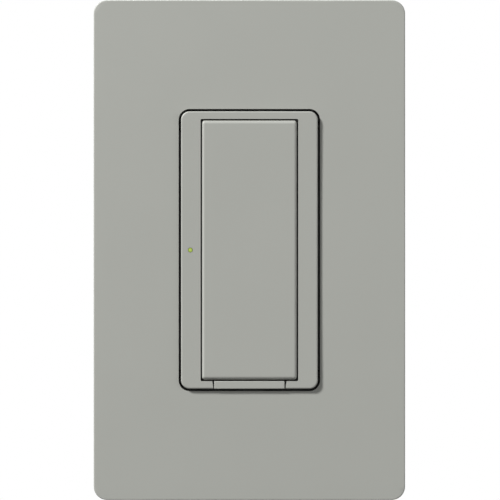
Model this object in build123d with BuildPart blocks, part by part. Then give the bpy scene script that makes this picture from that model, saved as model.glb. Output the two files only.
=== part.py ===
from build123d import *
from math import degrees, radians, tan
import os

os.makedirs("parts", exist_ok=True)

# Sizes are in millimetres. The wall's surface is the plane Y = 0, the room lies towards -Y
# and +Z is up. A height is a distance in front of the wall. A negative height is inside the
# wall box.

# Wall plate
plate_depth = 7.6
plate_wall = 1.8
plate_face = 2.0
plate_corner = 3.2
plate_edge = 0.3
plate_crown_across = 0.25
plate_crown_along = 0.4
plate_rib = 1.0
plate_rib_depth = 1.3
plate_rib_clearance = 0.4
plate_rib_spacing_share = 0.8
collar_wall = 1.4
collar_depth = 1.5
pry_notch_width = 6.0
pry_notch_depth = 1.2

# Frame in the plate's opening
opening_gap = 0.6
bezel_side_rail = 4.65
bezel_end_rail = 1.82
bezel_corner = 2.0
bezel_front = 8.4
bezel_face = 1.5
bezel_edge = 0.35
bezel_floor = 1.2
bezel_inner_wall = 1.2
bezel_outer_wall = 1.3
floor_opening_width = 15.0
floor_opening_height = 40.0

# Tap paddle
paddle_width = 22.5
paddle_height = 61.66
paddle_front = 8.8
paddle_face = 1.6
paddle_skirt = 1.2
paddle_skirt_back = 3.9
paddle_gap = 0.35
paddle_end_round = 0.85
paddle_side_round = 0.65
window_corner = 0.3
paddle_rib = 0.9
paddle_rib_depth = 2.0
paddle_travel_deg = 1.1
pivot_below_top = 2.83
pivot_height = 5.0
pivot_pin_r = 1.1
pivot_clearance = 0.05
pivot_end_gap = 0.2
post_above_middle = 2.0
post_r = 1.5
post_gap = 0.08
plunger_past_floor = 0.9
plunger_edge = 0.2
stop_above_foot = 7.33
stop_hook_length = 4.2
stop_hook_reach = 0.75
stop_hook_depth = 1.2
stop_gap = 0.12

# Service tab
tab_width = 16.75
tab_side_gap_top = 0.45
tab_side_gap_foot = 0.15
tab_face = 1.8
tab_web = 0.7
tab_web_width = 15.6
tab_guide_width = 19.2
tab_guide_depth = 1.9
tab_guide_clearance = 0.08
tab_travel = 2.5
tab_leg_spacing = 12.2
tab_leg_width = 2.2
tab_leg_clearance = 0.35
tab_hook_depth = 1.2
tab_hook_reach = 2.0
tab_guide_end_gap = 0.1
tab_edge = 0.2

# Light pipe
light_from_edge = 2.2
light_r = 0.53
light_clearance = 0.05
pipe_body_r = 0.8
pipe_hole_r = 1.3
tip_shoulder_gap = 0.05

# Antenna strip on the frame's floor
antenna_below_window_top = 4.18
antenna_across = 5.5
antenna_strip = 1.2
antenna_thickness = 0.3
antenna_clearance = 0.6
antenna_foot_inset = 0.2

# Yoke
yoke_thickness = 1.3
yoke_past_screws = 3.98
yoke_ear_width = 33.0
yoke_past_case_side = 9.2
yoke_past_case_end = 1.6
yoke_corner = 3.0
score_width = 0.8
score_length = 16.0
score_pitch = 20.0
box_slot_length = 7.5
box_slot_width = 4.2
thread_clearance = 0.05
post_hole = 10.0
post_hole_corner = 2.0
ground_tab_width = 9.0
ground_tab_depth = 10.0
ground_tab_past_case = 9.2
ground_tab_root = 3.0
ground_tab_bend = 0.3
ground_head_from_end = 1.0
tab_slot_clearance = 0.2

# Snap legs that hold the frame to the yoke
snap_leg_width = 5.0
snap_leg_spacing = 36.0
snap_leg_reach = 1.3
snap_hook = 0.75
snap_gap = 0.1
snap_hook_land = 0.3
snap_tip_inset = 0.2
snap_slot_clearance = 0.2

# Sub-plate
adapter_past_fins = 3.6
adapter_past_yoke = 4.2
adapter_side_clearance = 0.7
adapter_end_clearance = 1.15
adapter_thickness = 1.6
adapter_corner = 1.5
adapter_flange = 1.2
adapter_flange_back = 0.2
adapter_gap = 1.2
adapter_rim = 1.0
adapter_rim_depth = 0.8
adapter_boss = 0.5
adapter_boss_r = 4.3
plate_seat_gap = 0.1
catch_width = 8.0
catch_spacing = 44.0
catch_depth = 1.2
catch_reach = 0.7

# Screws, all 6-32 but for the case screws. The box screws come out 83.34 apart and the
# plate screws 96.84 apart, which are the standard spacings of a single wall box.
box_screw_past_case = 7.27
plate_screw_past_box_screw = 6.75
machine_r = 1.75
machine_neck_r = 1.45
screw_tip = 0.6
screw_tip_taper = 0.5
box_screw_length = 25.4
box_screw_head_r = 3.2
box_screw_head = 2.0
box_head_round_across = 0.9
box_head_round_along = 0.7
box_screw_tip = 1.0
box_screw_tip_taper = 0.7
box_head_clearance = 0.35
washer_r = 3.6
washer_thickness = 0.8
neck_past_washer = 0.2
plate_screw_length = 9.5
plate_screw_head_r = 2.75
plate_screw_head_clearance = 0.05
plate_screw_head_trim = 0.05
countersink_angle = 82
drive_slot_width = 0.9
drive_slot_depth = 0.9
ground_screw_length = 7.0
ground_head_r = 3.6
ground_head = 2.1
ground_head_edge = 0.4
case_screw_r = 1.2
case_screw_head_r = 2.2
case_screw_head = 1.6
case_head_round_across = 0.5
case_head_round_along = 0.6
case_screw_tip = 0.4
case_screw_short = 0.3

# Rear case
case_past_frame_side = 5.55
case_past_frame_end = 1.4
case_depth = 30.0
case_wall = 1.6
case_back = 1.8
case_corner = 3.0
case_edge = 1.2
case_draft_deg = 0.7
case_lip = 0.6
case_lip_depth = 1.4
case_rib = 0.5
case_rib_width = 1.2
case_rib_pitch = 8.0
case_ribs = 4
panel_inset = 8.5
panel_corner = 1.5
panel_depth = 0.3
case_boss_r = 3.1
case_boss_from_side = 4.5
case_boss_from_end = 4.6
case_screw_seat = 12.0
case_hole_clearance = 0.1
case_counterbore_clearance = 0.3
ledge_reach = 1.2
ledge_width = 2.0
ledge_from_end = 12.4
standoff_r = 1.5
standoff_from_side = 8.8
standoff_from_end = 7.4

# Circuit boards
insulator_thickness = 0.4
insulator_clearance = 0.3
control_board_depth = 3.0
control_board_thickness = 1.2
control_board_end_gap = 2.1
power_board_thickness = 1.6
power_board_back_gap = 2.2
board_clearance = 0.2
boss_notch_clearance = 0.4
boss_corner_cut = 1.6

# Terminals at the case's sides
terminal_up = 13.0
terminal_plate_width = 9.5
terminal_plate_thickness = 1.0
pocket_wall = 1.4
pocket_depth = 3.0
pocket_top = 8.0
pocket_foot = 20.8
pocket_clearance = 0.4
terminal_lug_width = 4.0
terminal_lug_length = 3.0
terminal_lug_thickness = 0.8
lug_slot_clearance = 0.2
terminal_screw_length = 4.4
terminal_head_r = 3.9
terminal_head = 2.1
terminal_head_edge = 0.5
terminal_screw_tip = 0.5
terminal_screw_past_middle = 0.8
terminal_seat_gap = 0.1
terminal_shank_clearance = 0.3

# Isolating contact that the service tab opens
leaf_depth = 10.4
leaf_thickness = 0.4
leaf_width = 3.6
leaf_root_across = -13.0
leaf_length = 22.0
leaf_post_width = 4.0
leaf_post_thickness = 0.8
leaf_lift_gap = 0.25
contact_r = 1.5
contact_thickness = 0.8
contact_from_root = 14.5
contact_gap = 0.05
rivet_share = 0.7
rivet_head = 0.5

# Sizes worked out from those above, from the paddle outwards
window_width = paddle_width + 2 * paddle_gap
window_height = paddle_height + 2 * paddle_gap
bezel_width = window_width + 2 * bezel_side_rail
bezel_height = window_height + 2 * bezel_end_rail
case_width = bezel_width + 2 * case_past_frame_side
case_height = bezel_height + 2 * case_past_frame_end
box_screw_spacing = case_height + 2 * box_screw_past_case
plate_screw_spacing = box_screw_spacing + 2 * plate_screw_past_box_screw
yoke_height = plate_screw_spacing + 2 * yoke_past_screws
yoke_core_width = case_width + 2 * yoke_past_case_side
yoke_core_height = case_height + 2 * yoke_past_case_end
adapter_width = yoke_core_width + 2 * adapter_past_fins
adapter_height = yoke_height + 2 * adapter_past_yoke
plate_width = adapter_width + 2 * (adapter_side_clearance + plate_wall)
plate_height = adapter_height + 2 * (adapter_end_clearance + plate_wall)
pivot_up = paddle_height / 2 - pivot_below_top
post_up = post_above_middle
stop_up = stop_above_foot - paddle_height / 2
light_across = bezel_width / 2 - light_from_edge
antenna_up = window_height / 2 - antenna_below_window_top
ground_tab_up = -(case_height / 2 + ground_tab_past_case)
case_boss_across = case_width / 2 - case_boss_from_side
case_boss_up = case_height / 2 - case_boss_from_end
ledge_up = case_height / 2 - ledge_from_end
standoff_across = case_width / 2 - standoff_from_side
standoff_up = case_height / 2 - standoff_from_end
opening_width = bezel_width + 2 * opening_gap
opening_height = bezel_height + 2 * opening_gap
opening_corner = bezel_corner + opening_gap
window_foot = -window_height / 2
bezel_foot = -bezel_height / 2
floor_front = yoke_thickness + bezel_floor
channel_width = (bezel_width - window_width) / 2 - bezel_inner_wall - bezel_outer_wall
channel_across = window_width / 2 + bezel_inner_wall + channel_width / 2
channel_front = bezel_front - bezel_face
plate_inner_front = plate_depth - plate_face
box_screw_up = box_screw_spacing / 2
plate_screw_up = plate_screw_spacing / 2
case_inner_width = case_width - 2 * case_wall
case_inner_height = case_height - 2 * case_wall
control_board_height = case_inner_height - 2 * control_board_end_gap
control_front = -control_board_depth
control_back = control_front - control_board_thickness
power_back = -(case_depth - case_back - power_board_back_gap)
power_front = power_back + power_board_thickness
antenna_foot_up = post_up + floor_opening_height / 2 - antenna_thickness - antenna_foot_inset
antenna_foot_across = antenna_across - antenna_strip / 2
adapter_front = yoke_thickness + adapter_thickness


def facing(height):
    """Drawing plane parallel to the wall, seen from the room, at a height over the wall."""
    return Plane.XZ.offset(height)


def cut_across(up, across=0.0):
    """Drawing plane level with the floor, whose second axis points into the wall."""
    return Plane(origin=(across, 0, up), x_dir=(1, 0, 0), z_dir=(0, 0, 1))


# Wall plate: a crowned moulded shell with an opening, a collar round it and inner catches
crown_radius = (plate_height / 2) ** 2 / (2 * plate_crown_along)
crown_half_turn = degrees((plate_height / 2 + plate_corner) / crown_radius)
crown_centre = Vector(0, crown_radius - plate_depth, 0)
crown_level = Plane(crown_centre, x_dir=(1, 0, 0), z_dir=(0, 0, -1))
crown_start = crown_level.rotated((crown_half_turn, 0, 0))
crown_side = plate_width / 2 + plate_corner

with BuildPart() as wall_plate:
    with BuildSketch(facing(0)):
        RectangleRounded(plate_width, plate_height, plate_corner)
    extrude(amount=plate_depth + plate_crown_along)
    with BuildSketch(crown_start):
        with BuildLine():
            ThreePointArc(
                (-crown_side, crown_radius - plate_crown_across),
                (0, crown_radius),
                (crown_side, crown_radius - plate_crown_across),
            )
            Polyline(
                (crown_side, crown_radius - plate_crown_across),
                (crown_side, crown_radius - 2 * plate_depth),
                (-crown_side, crown_radius - 2 * plate_depth),
                (-crown_side, crown_radius - plate_crown_across),
            )
        make_face()
    revolve(
        axis=Axis(crown_centre, (-1, 0, 0)),
        revolution_arc=2 * crown_half_turn,
        mode=Mode.INTERSECT,
    )
    fillet(wall_plate.faces().sort_by(Axis.Y)[0].edges(), plate_edge)
    with BuildSketch(facing(0)):
        RectangleRounded(
            plate_width - 2 * plate_wall,
            plate_height - 2 * plate_wall,
            plate_corner - plate_wall,
        )
    extrude(amount=plate_inner_front, mode=Mode.SUBTRACT)
    with BuildSketch(facing(plate_inner_front)):
        RectangleRounded(
            opening_width + 2 * collar_wall,
            opening_height + 2 * collar_wall,
            opening_corner + collar_wall,
        )
    extrude(amount=-collar_depth)
    rib_end = adapter_height / 2 - adapter_flange - plate_rib_clearance
    rib_length = rib_end - opening_height / 2 - collar_wall
    rib_up = rib_end - rib_length / 2
    with BuildSketch(facing(plate_inner_front)):
        with GridLocations(opening_width * plate_rib_spacing_share, 2 * rib_up, 2, 2):
            Rectangle(plate_rib, rib_length)
    extrude(amount=-plate_rib_depth)
    with BuildSketch(facing(0)):
        RectangleRounded(opening_width, opening_height, opening_corner)
    extrude(amount=plate_depth + plate_crown_along, mode=Mode.SUBTRACT)
    # Catches inside the top and bottom walls, behind those of the sub-plate
    catch_front = adapter_front - adapter_thickness / 2
    plate_inner_up = plate_height / 2 - plate_wall
    plate_catch_reach = plate_inner_up - adapter_height / 2 - catch_reach / 3
    for side in (1, -1):
        for across in (-catch_spacing / 2, catch_spacing / 2):
            with BuildSketch(Plane.YZ.offset(across)):
                with BuildLine():
                    Polyline(
                        (-catch_front, side * plate_inner_up),
                        (-catch_front, side * (plate_inner_up - plate_catch_reach)),
                        (-catch_front + catch_depth, side * plate_inner_up),
                        close=True,
                    )
                make_face()
            extrude(amount=catch_width / 2, both=True)
    # Notch in the bottom edge for lifting the plate off
    with BuildSketch(facing(0)):
        with Locations((0, -plate_height / 2 + plate_wall / 2)):
            Rectangle(pry_notch_width, 2 * plate_wall)
    extrude(amount=pry_notch_depth, mode=Mode.SUBTRACT)
wall_plate.part.label = "wall_plate"
export_step(wall_plate.part, "parts/wall_plate.step")

# Sub-plate: a thin frame on the yoke's ears, with a flange that the outer plate snaps over
with BuildPart() as plate_adapter:
    with BuildSketch(facing(yoke_thickness)):
        RectangleRounded(adapter_width, adapter_height, adapter_corner)
    extrude(amount=adapter_thickness)
    with BuildSketch(facing(adapter_flange_back)):
        RectangleRounded(adapter_width, adapter_height, adapter_corner)
        offset(amount=-adapter_flange, mode=Mode.SUBTRACT)
    extrude(amount=plate_inner_front - plate_seat_gap - adapter_flange_back)
    with BuildSketch(facing(adapter_front)):
        RectangleRounded(
            bezel_width + 2 * (adapter_gap + adapter_rim),
            bezel_height + 2 * (adapter_gap + adapter_rim),
            bezel_corner,
        )
    extrude(amount=adapter_rim_depth)
    with BuildSketch(facing(adapter_front)):
        with GridLocations(0, plate_screw_spacing, 1, 2):
            Circle(adapter_boss_r)
    extrude(amount=adapter_boss)
    with BuildSketch(facing(yoke_thickness)):
        RectangleRounded(
            bezel_width + 2 * adapter_gap, bezel_height + 2 * adapter_gap, bezel_corner
        )
    extrude(amount=plate_depth, mode=Mode.SUBTRACT)
    with BuildSketch(facing(yoke_thickness)):
        with GridLocations(0, box_screw_spacing, 1, 2):
            SlotOverall(
                box_slot_length + 2 * box_head_clearance,
                2 * (box_screw_head_r + box_head_clearance),
            )
    extrude(amount=plate_depth, mode=Mode.SUBTRACT)
    with Locations(facing(adapter_front + adapter_boss)):
        with GridLocations(0, plate_screw_spacing, 1, 2):
            CounterSinkHole(
                machine_r + thread_clearance,
                plate_screw_head_r + plate_screw_head_clearance,
                adapter_thickness + adapter_boss,
                countersink_angle,
            )
    for side in (1, -1):
        for across in (-catch_spacing / 2, catch_spacing / 2):
            with BuildSketch(Plane.YZ.offset(across)):
                with BuildLine():
                    Polyline(
                        (-catch_front - plate_seat_gap, side * adapter_height / 2),
                        (
                            -catch_front - plate_seat_gap,
                            side * (adapter_height / 2 + catch_reach),
                        ),
                        (
                            -catch_front - plate_seat_gap - catch_depth,
                            side * adapter_height / 2,
                        ),
                        close=True,
                    )
                make_face()
            extrude(amount=catch_width / 2, both=True)
plate_adapter.part.label = "plate_adapter"
export_step(plate_adapter.part, "parts/plate_adapter.step")

# Yoke: a stamped aluminium strap with ears, break-off fins, slots and a bent grounding tab
snap_across = bezel_width / 2 - bezel_outer_wall / 2
tab_centre_up = (window_foot + bezel_foot) / 2
ground_tab_across = -yoke_ear_width / 2

with BuildPart() as yoke:
    with BuildSketch(facing(0)):
        RectangleRounded(yoke_ear_width, yoke_height, yoke_corner)
        RectangleRounded(yoke_core_width, yoke_core_height, yoke_corner)
    extrude(amount=yoke_thickness)
    with BuildSketch(facing(0)):
        with GridLocations(0, box_screw_spacing, 1, 2):
            SlotOverall(box_slot_length, box_slot_width)
        with GridLocations(0, plate_screw_spacing, 1, 2):
            Circle(machine_r + thread_clearance)
        with GridLocations(2 * case_boss_across, 2 * case_boss_up, 2, 2):
            Circle(case_screw_r + thread_clearance)
        with GridLocations(case_width + 2 * score_width, score_pitch, 2, 3):
            Rectangle(score_width, score_length)
        with GridLocations(2 * snap_across, snap_leg_spacing, 2, 2):
            Rectangle(
                bezel_outer_wall + 2 * snap_slot_clearance,
                snap_leg_width + 2 * snap_slot_clearance,
            )
        with Locations((0, tab_centre_up)):
            Rectangle(
                tab_leg_spacing + tab_leg_width + 2 * tab_slot_clearance,
                tab_web + 2 * tab_leg_clearance,
            )
        with Locations((-light_across, 0)):
            Circle(pipe_hole_r)
        with Locations((0, post_up)):
            RectangleRounded(post_hole, post_hole, post_hole_corner)
        with Locations((antenna_foot_across, antenna_foot_up - antenna_thickness / 2)):
            Rectangle(
                antenna_strip + 2 * antenna_clearance,
                antenna_thickness + 2 * antenna_clearance,
            )
    extrude(amount=yoke_thickness, mode=Mode.SUBTRACT)
    with BuildSketch(cut_across(ground_tab_up)):
        with BuildLine():
            FilletPolyline(
                (ground_tab_across + ground_tab_root, -yoke_thickness),
                (ground_tab_across, -yoke_thickness),
                (ground_tab_across, ground_tab_depth),
                radius=yoke_thickness + ground_tab_bend,
            )
            Polyline(
                (ground_tab_across, ground_tab_depth),
                (ground_tab_across + yoke_thickness, ground_tab_depth),
                (ground_tab_across + yoke_thickness, 0),
                (ground_tab_across + ground_tab_root, 0),
                (ground_tab_across + ground_tab_root, -yoke_thickness),
            )
        make_face()
    extrude(amount=ground_tab_width / 2, both=True)
    ground_screw_depth = ground_tab_depth - ground_head_r - ground_head_from_end
    with BuildSketch(Plane.YZ.offset(ground_tab_across)):
        with Locations((ground_screw_depth, ground_tab_up)):
            Circle(machine_r + thread_clearance)
    extrude(amount=yoke_thickness, mode=Mode.SUBTRACT)
yoke.part.label = "yoke"
export_step(yoke.part, "parts/yoke.step")


def turned(place, along, radial, outline):
    """A turned solid: outline is its half section, as (radius, distance along) points."""
    place = Vector(*place)
    along = Vector(*along)
    radial = Vector(*radial)
    with BuildPart() as turning:
        with BuildSketch(Plane(place, x_dir=radial, z_dir=radial.cross(along))):
            with BuildLine():
                Polyline(*outline, close=True)
            make_face()
        revolve(axis=Axis(place, along))
    return turning.part


# Screws that hold the sub-plate to the yoke: countersunk, flush with its bosses
plate_head_depth = (plate_screw_head_r - machine_r) / tan(radians(countersink_angle / 2))
for name, side in (("adapter_screw_upper", 1), ("adapter_screw_lower", -1)):
    with BuildPart() as adapter_screw:
        head_height = adapter_front + adapter_boss
        add(
            turned(
                (0, -head_height, side * plate_screw_up),
                (0, 1, 0),
                (1, 0, 0),
                [
                    (0, 0),
                    (plate_screw_head_r - plate_screw_head_trim, 0),
                    (machine_r, plate_head_depth),
                    (machine_r, plate_screw_length - screw_tip),
                    (machine_r - screw_tip_taper, plate_screw_length),
                    (0, plate_screw_length),
                ],
            )
        )
        with BuildSketch(facing(head_height)):
            with Locations((0, side * plate_screw_up)):
                Rectangle(2 * plate_screw_head_r, drive_slot_width)
        extrude(amount=-drive_slot_depth, mode=Mode.SUBTRACT)
    adapter_screw.part.label = name
    export_step(adapter_screw.part, f"parts/{name}.step")

# Screws that hold the yoke to the wall box: pan head, necked where the washer keeps them
neck_end = yoke_thickness + washer_thickness + neck_past_washer
for name, side in (("box_screw_upper", 1), ("box_screw_lower", -1)):
    with BuildPart() as box_screw:
        add(
            turned(
                (0, -yoke_thickness, side * box_screw_up),
                (0, 1, 0),
                (1, 0, 0),
                [
                    (0, -box_screw_head),
                    (box_screw_head_r - box_head_round_across, -box_screw_head),
                    (box_screw_head_r, -box_screw_head + box_head_round_along),
                    (box_screw_head_r, 0),
                    (machine_neck_r, 0),
                    (machine_neck_r, neck_end),
                    (machine_r, neck_end),
                    (machine_r, box_screw_length - box_screw_tip),
                    (machine_r - box_screw_tip_taper, box_screw_length),
                    (0, box_screw_length),
                ],
            )
        )
        with BuildSketch(facing(yoke_thickness + box_screw_head)):
            with Locations((0, side * box_screw_up)):
                Rectangle(3 * box_screw_head_r, drive_slot_width)
                Rectangle(drive_slot_width, box_screw_head_r)
        extrude(amount=-drive_slot_depth, mode=Mode.SUBTRACT)
    box_screw.part.label = name
    export_step(box_screw.part, f"parts/{name}.step")

# Fibre washers behind the yoke, pushed over the box screws' threads
for name, side in (("screw_washer_upper", 1), ("screw_washer_lower", -1)):
    with BuildPart() as screw_washer:
        with BuildSketch(facing(0)):
            with Locations((0, side * box_screw_up)):
                Circle(washer_r)
                Circle(machine_neck_r + thread_clearance, mode=Mode.SUBTRACT)
        extrude(amount=-washer_thickness)
    screw_washer.part.label = name
    export_step(screw_washer.part, f"parts/{name}.step")

# Green grounding screw, its head against the outside of the yoke's bent tab
with BuildPart() as ground_screw:
    add(
        turned(
            (ground_tab_across, ground_screw_depth, ground_tab_up),
            (1, 0, 0),
            (0, 1, 0),
            [
                (0, -ground_head),
                (ground_head_r - ground_head_edge, -ground_head),
                (ground_head_r, -ground_head + ground_head_edge),
                (ground_head_r, 0),
                (machine_r, 0),
                (machine_r, ground_screw_length - screw_tip),
                (machine_r - screw_tip_taper, ground_screw_length),
                (0, ground_screw_length),
            ],
        )
    )
    with BuildSketch(Plane.YZ.offset(ground_tab_across - ground_head)):
        with Locations((ground_screw_depth, ground_tab_up)):
            Rectangle(drive_slot_width, 3 * ground_head_r)
    extrude(amount=drive_slot_depth, mode=Mode.SUBTRACT)
ground_screw.part.label = "ground_screw"
export_step(ground_screw.part, "parts/ground_screw.step")

# Frame: hollow side rails, a floor, pivot sockets, stop slots, tab guide and snap legs
tab_guide_thick = tab_web + 2 * tab_guide_clearance
tab_back = floor_front + tab_slot_clearance
guide_front = tab_back + tab_guide_depth
stop_front = paddle_skirt_back + stop_hook_depth

with BuildPart() as bezel:
    with BuildSketch(facing(yoke_thickness)):
        RectangleRounded(bezel_width, bezel_height, bezel_corner)
    extrude(amount=bezel_front - yoke_thickness)
    fillet(bezel.faces().sort_by(Axis.Y)[0].edges(), bezel_edge)
    with BuildSketch(facing(floor_front)):
        RectangleRounded(window_width, window_height, window_corner)
    extrude(amount=bezel_front, mode=Mode.SUBTRACT)
    with BuildSketch(facing(0)):
        with Locations((0, post_up)):
            RectangleRounded(floor_opening_width, floor_opening_height, bezel_corner)
    extrude(amount=floor_front, mode=Mode.SUBTRACT)
    with BuildSketch(facing(0)):
        with GridLocations(2 * channel_across, 0, 2, 1):
            Rectangle(channel_width, window_height - 2 * bezel_outer_wall)
    extrude(amount=channel_front, mode=Mode.SUBTRACT)
    # Sockets for the paddle's pins and slots for its stop hooks, through the inner walls
    with BuildSketch(Plane.YZ):
        with Locations((-pivot_height, pivot_up)):
            Circle(pivot_pin_r + pivot_clearance)
        with Locations(
            (-(floor_front + stop_front + stop_gap) / 2, stop_up),
        ):
            Rectangle(stop_front + stop_gap - floor_front, stop_hook_length + 2 * paddle_gap)
    extrude(amount=window_width / 2 + bezel_inner_wall, both=True, mode=Mode.SUBTRACT)
    # Hole for the light pipe's tip
    with BuildSketch(facing(channel_front)):
        with Locations((-light_across, 0)):
            Circle(light_r + light_clearance)
    extrude(amount=bezel_face, mode=Mode.SUBTRACT)
    # Notch for the service tab, wider towards the paddle, and the groove that guides it
    with BuildSketch(facing(floor_front)):
        with BuildLine():
            Polyline(
                (-tab_width / 2 - tab_side_gap_top, window_foot + paddle_gap),
                (tab_width / 2 + tab_side_gap_top, window_foot + paddle_gap),
                (tab_width / 2 + tab_side_gap_top, window_foot),
                (tab_width / 2 + tab_side_gap_foot, bezel_foot - paddle_gap),
                (-tab_width / 2 - tab_side_gap_foot, bezel_foot - paddle_gap),
                (-tab_width / 2 - tab_side_gap_top, window_foot),
                close=True,
            )
        make_face()
    extrude(amount=bezel_front, mode=Mode.SUBTRACT)
    with BuildSketch(facing(floor_front)):
        with Locations((0, tab_centre_up)):
            Rectangle(tab_guide_width + 2 * tab_guide_clearance, tab_guide_thick)
    tab_groove_front = guide_front + tab_travel + tab_guide_end_gap
    extrude(amount=tab_groove_front - floor_front, mode=Mode.SUBTRACT)
    with BuildSketch(facing(0)):
        with Locations((0, tab_centre_up)):
            Rectangle(
                tab_leg_spacing + tab_leg_width + 2 * tab_slot_clearance,
                tab_web + 2 * tab_leg_clearance,
            )
    extrude(amount=floor_front, mode=Mode.SUBTRACT)
    # Snap legs through the yoke, hooked behind it
    leg_inner = bezel_width / 2 - bezel_outer_wall
    leg_outer = bezel_width / 2
    for side in (1, -1):
        for up in (-snap_leg_spacing / 2, snap_leg_spacing / 2):
            with BuildSketch(cut_across(up)):
                with BuildLine():
                    Polyline(
                        (side * leg_inner, -yoke_thickness),
                        (side * leg_outer, -yoke_thickness),
                        (side * leg_outer, snap_gap),
                        (side * (leg_outer + snap_hook), snap_gap),
                        (side * (leg_outer + snap_hook), snap_gap + snap_hook_land),
                        (side * (leg_outer - snap_tip_inset), snap_leg_reach),
                        (side * leg_inner, snap_leg_reach),
                        close=True,
                    )
                make_face()
            extrude(amount=snap_leg_width / 2, both=True)
bezel.part.label = "bezel"
export_step(bezel.part, "parts/bezel.step")

# Tap paddle: a ribbed shell with pins near its top, a post for the switch and stop hooks
plunger_top = floor_front + plunger_past_floor
with BuildPart() as paddle:
    with BuildSketch(facing(paddle_skirt_back)):
        Rectangle(paddle_width, paddle_height)
    extrude(amount=paddle_front - paddle_skirt_back)
    front_edges = paddle.faces().sort_by(Axis.Y)[0].edges()
    fillet(front_edges.filter_by(Axis.X), paddle_end_round)
    front_edges = paddle.faces().sort_by(Axis.Y)[0].edges()
    fillet(front_edges.filter_by(Axis.Z), paddle_side_round)
    with BuildSketch(facing(paddle_skirt_back)):
        Rectangle(paddle_width - 2 * paddle_skirt, paddle_height - 2 * paddle_skirt)
    extrude(amount=paddle_front - paddle_face - paddle_skirt_back, mode=Mode.SUBTRACT)
    underside = paddle_front - paddle_face
    with BuildSketch(facing(underside - paddle_rib_depth)):
        with GridLocations(paddle_width / 2, 0, 2, 1):
            Rectangle(paddle_rib, paddle_height - 2 * paddle_skirt)
        with GridLocations(0, paddle_height / 6, 1, 5):
            Rectangle(paddle_width - 2 * paddle_skirt, paddle_rib)
    extrude(amount=paddle_rib_depth)
    with BuildSketch(facing(plunger_top + post_gap)):
        with Locations((0, post_up)):
            Circle(post_r)
    extrude(amount=underside - plunger_top - post_gap)
    for side in (1, -1):
        wall_plane = Plane.YZ.offset(side * (paddle_width / 2 - paddle_skirt / 2))
        with BuildSketch(wall_plane):
            with Locations((-pivot_height, pivot_up)):
                Circle(pivot_pin_r)
        pin_reach = paddle_skirt / 2 + paddle_gap + bezel_inner_wall - pivot_end_gap
        extrude(amount=side * pin_reach)
        with BuildSketch(wall_plane):
            with Locations((-(paddle_skirt_back + stop_front) / 2, stop_up)):
                Rectangle(stop_hook_depth, stop_hook_length)
        extrude(amount=side * (paddle_skirt / 2 + stop_hook_reach))
paddle.part.label = "paddle"
export_step(paddle.part, "parts/paddle.step")

# Service tab: a finger lip flush with the frame, a guided web and two legs into the case
tab_hook_front = -leaf_depth - leaf_lift_gap
with BuildPart() as service_tab:
    with BuildSketch(facing(bezel_front - tab_face)):
        with Locations((0, tab_centre_up)):
            Rectangle(tab_width, window_foot - bezel_foot)
    extrude(amount=tab_face)
    fillet(service_tab.faces().sort_by(Axis.Y)[0].edges(), tab_edge)
    with BuildSketch(facing(tab_back)):
        with Locations((0, tab_centre_up)):
            Rectangle(tab_web_width, tab_web)
    extrude(amount=bezel_front - tab_face - tab_back)
    with BuildSketch(facing(tab_back)):
        with Locations((0, tab_centre_up)):
            Rectangle(tab_guide_width, tab_web)
    extrude(amount=tab_guide_depth)
    with BuildSketch(facing(tab_back + tab_guide_depth / 2)):
        with Locations((0, tab_centre_up)):
            with GridLocations(tab_leg_spacing, 0, 2, 1):
                Rectangle(tab_leg_width, tab_web)
    extrude(amount=-(tab_back + tab_guide_depth / 2 - tab_hook_front + tab_hook_depth))
    with BuildSketch(facing(tab_hook_front)):
        with Locations(
            (tab_leg_spacing / 2, tab_centre_up + (tab_web + tab_hook_reach) / 2),
        ):
            Rectangle(tab_leg_width, tab_hook_reach + tab_web)
    extrude(amount=-tab_hook_depth)
service_tab.part.label = "service_tab"
export_step(service_tab.part, "parts/service_tab.step")

# Light pipe: a clear moulded rod, thin where it shows in the frame's rail
led_height = 0.8
led_gap = 0.3
pipe_back = control_front + led_height + led_gap
tip_recess = 0.02
tip_chamfer = 0.12
tip_length = bezel_face + tip_shoulder_gap
with BuildPart() as light_pipe:
    add(
        turned(
            (-light_across, -bezel_front, 0),
            (0, 1, 0),
            (1, 0, 0),
            [
                (0, tip_recess),
                (light_r - tip_chamfer, tip_recess),
                (light_r, tip_recess + tip_chamfer),
                (light_r, tip_length),
                (pipe_body_r, tip_length),
                (pipe_body_r, bezel_front - pipe_back),
                (0, bezel_front - pipe_back),
            ],
        )
    )
light_pipe.part.label = "light_pipe"
export_step(light_pipe.part, "parts/light_pipe.step")

# Insulating sheet between the yoke and the control board
sheet_hole = 2 * insulator_clearance
corner_cut = 2 * case_boss_r + boss_corner_cut
tab_sheet_slot = 4.0
with BuildPart() as insulator_sheet:
    with BuildSketch(facing(0)):
        Rectangle(case_inner_width - sheet_hole, case_inner_height - sheet_hole)
        with GridLocations(2 * case_boss_across, 2 * case_boss_up, 2, 2):
            Circle(case_boss_r + boss_notch_clearance, mode=Mode.SUBTRACT)
        with GridLocations(case_inner_width, case_inner_height, 2, 2):
            Rectangle(corner_cut, corner_cut, mode=Mode.SUBTRACT)
        with GridLocations(2 * snap_across, snap_leg_spacing, 2, 2):
            Rectangle(
                bezel_outer_wall + 2 * (snap_hook + insulator_clearance),
                snap_leg_width + sheet_hole,
                mode=Mode.SUBTRACT,
            )
        with Locations((0, tab_centre_up)):
            Rectangle(
                tab_leg_spacing + tab_leg_width + sheet_hole,
                tab_sheet_slot,
                mode=Mode.SUBTRACT,
            )
        with Locations((-light_across, 0)):
            Circle(pipe_hole_r, mode=Mode.SUBTRACT)
        with Locations((0, post_up)):
            Rectangle(post_hole, post_hole, mode=Mode.SUBTRACT)
        with Locations((antenna_foot_across, antenna_foot_up - antenna_thickness / 2)):
            Rectangle(
                antenna_strip + 2 * antenna_clearance,
                antenna_thickness + 2 * antenna_clearance,
                mode=Mode.SUBTRACT,
            )
    extrude(amount=-insulator_thickness)
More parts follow.
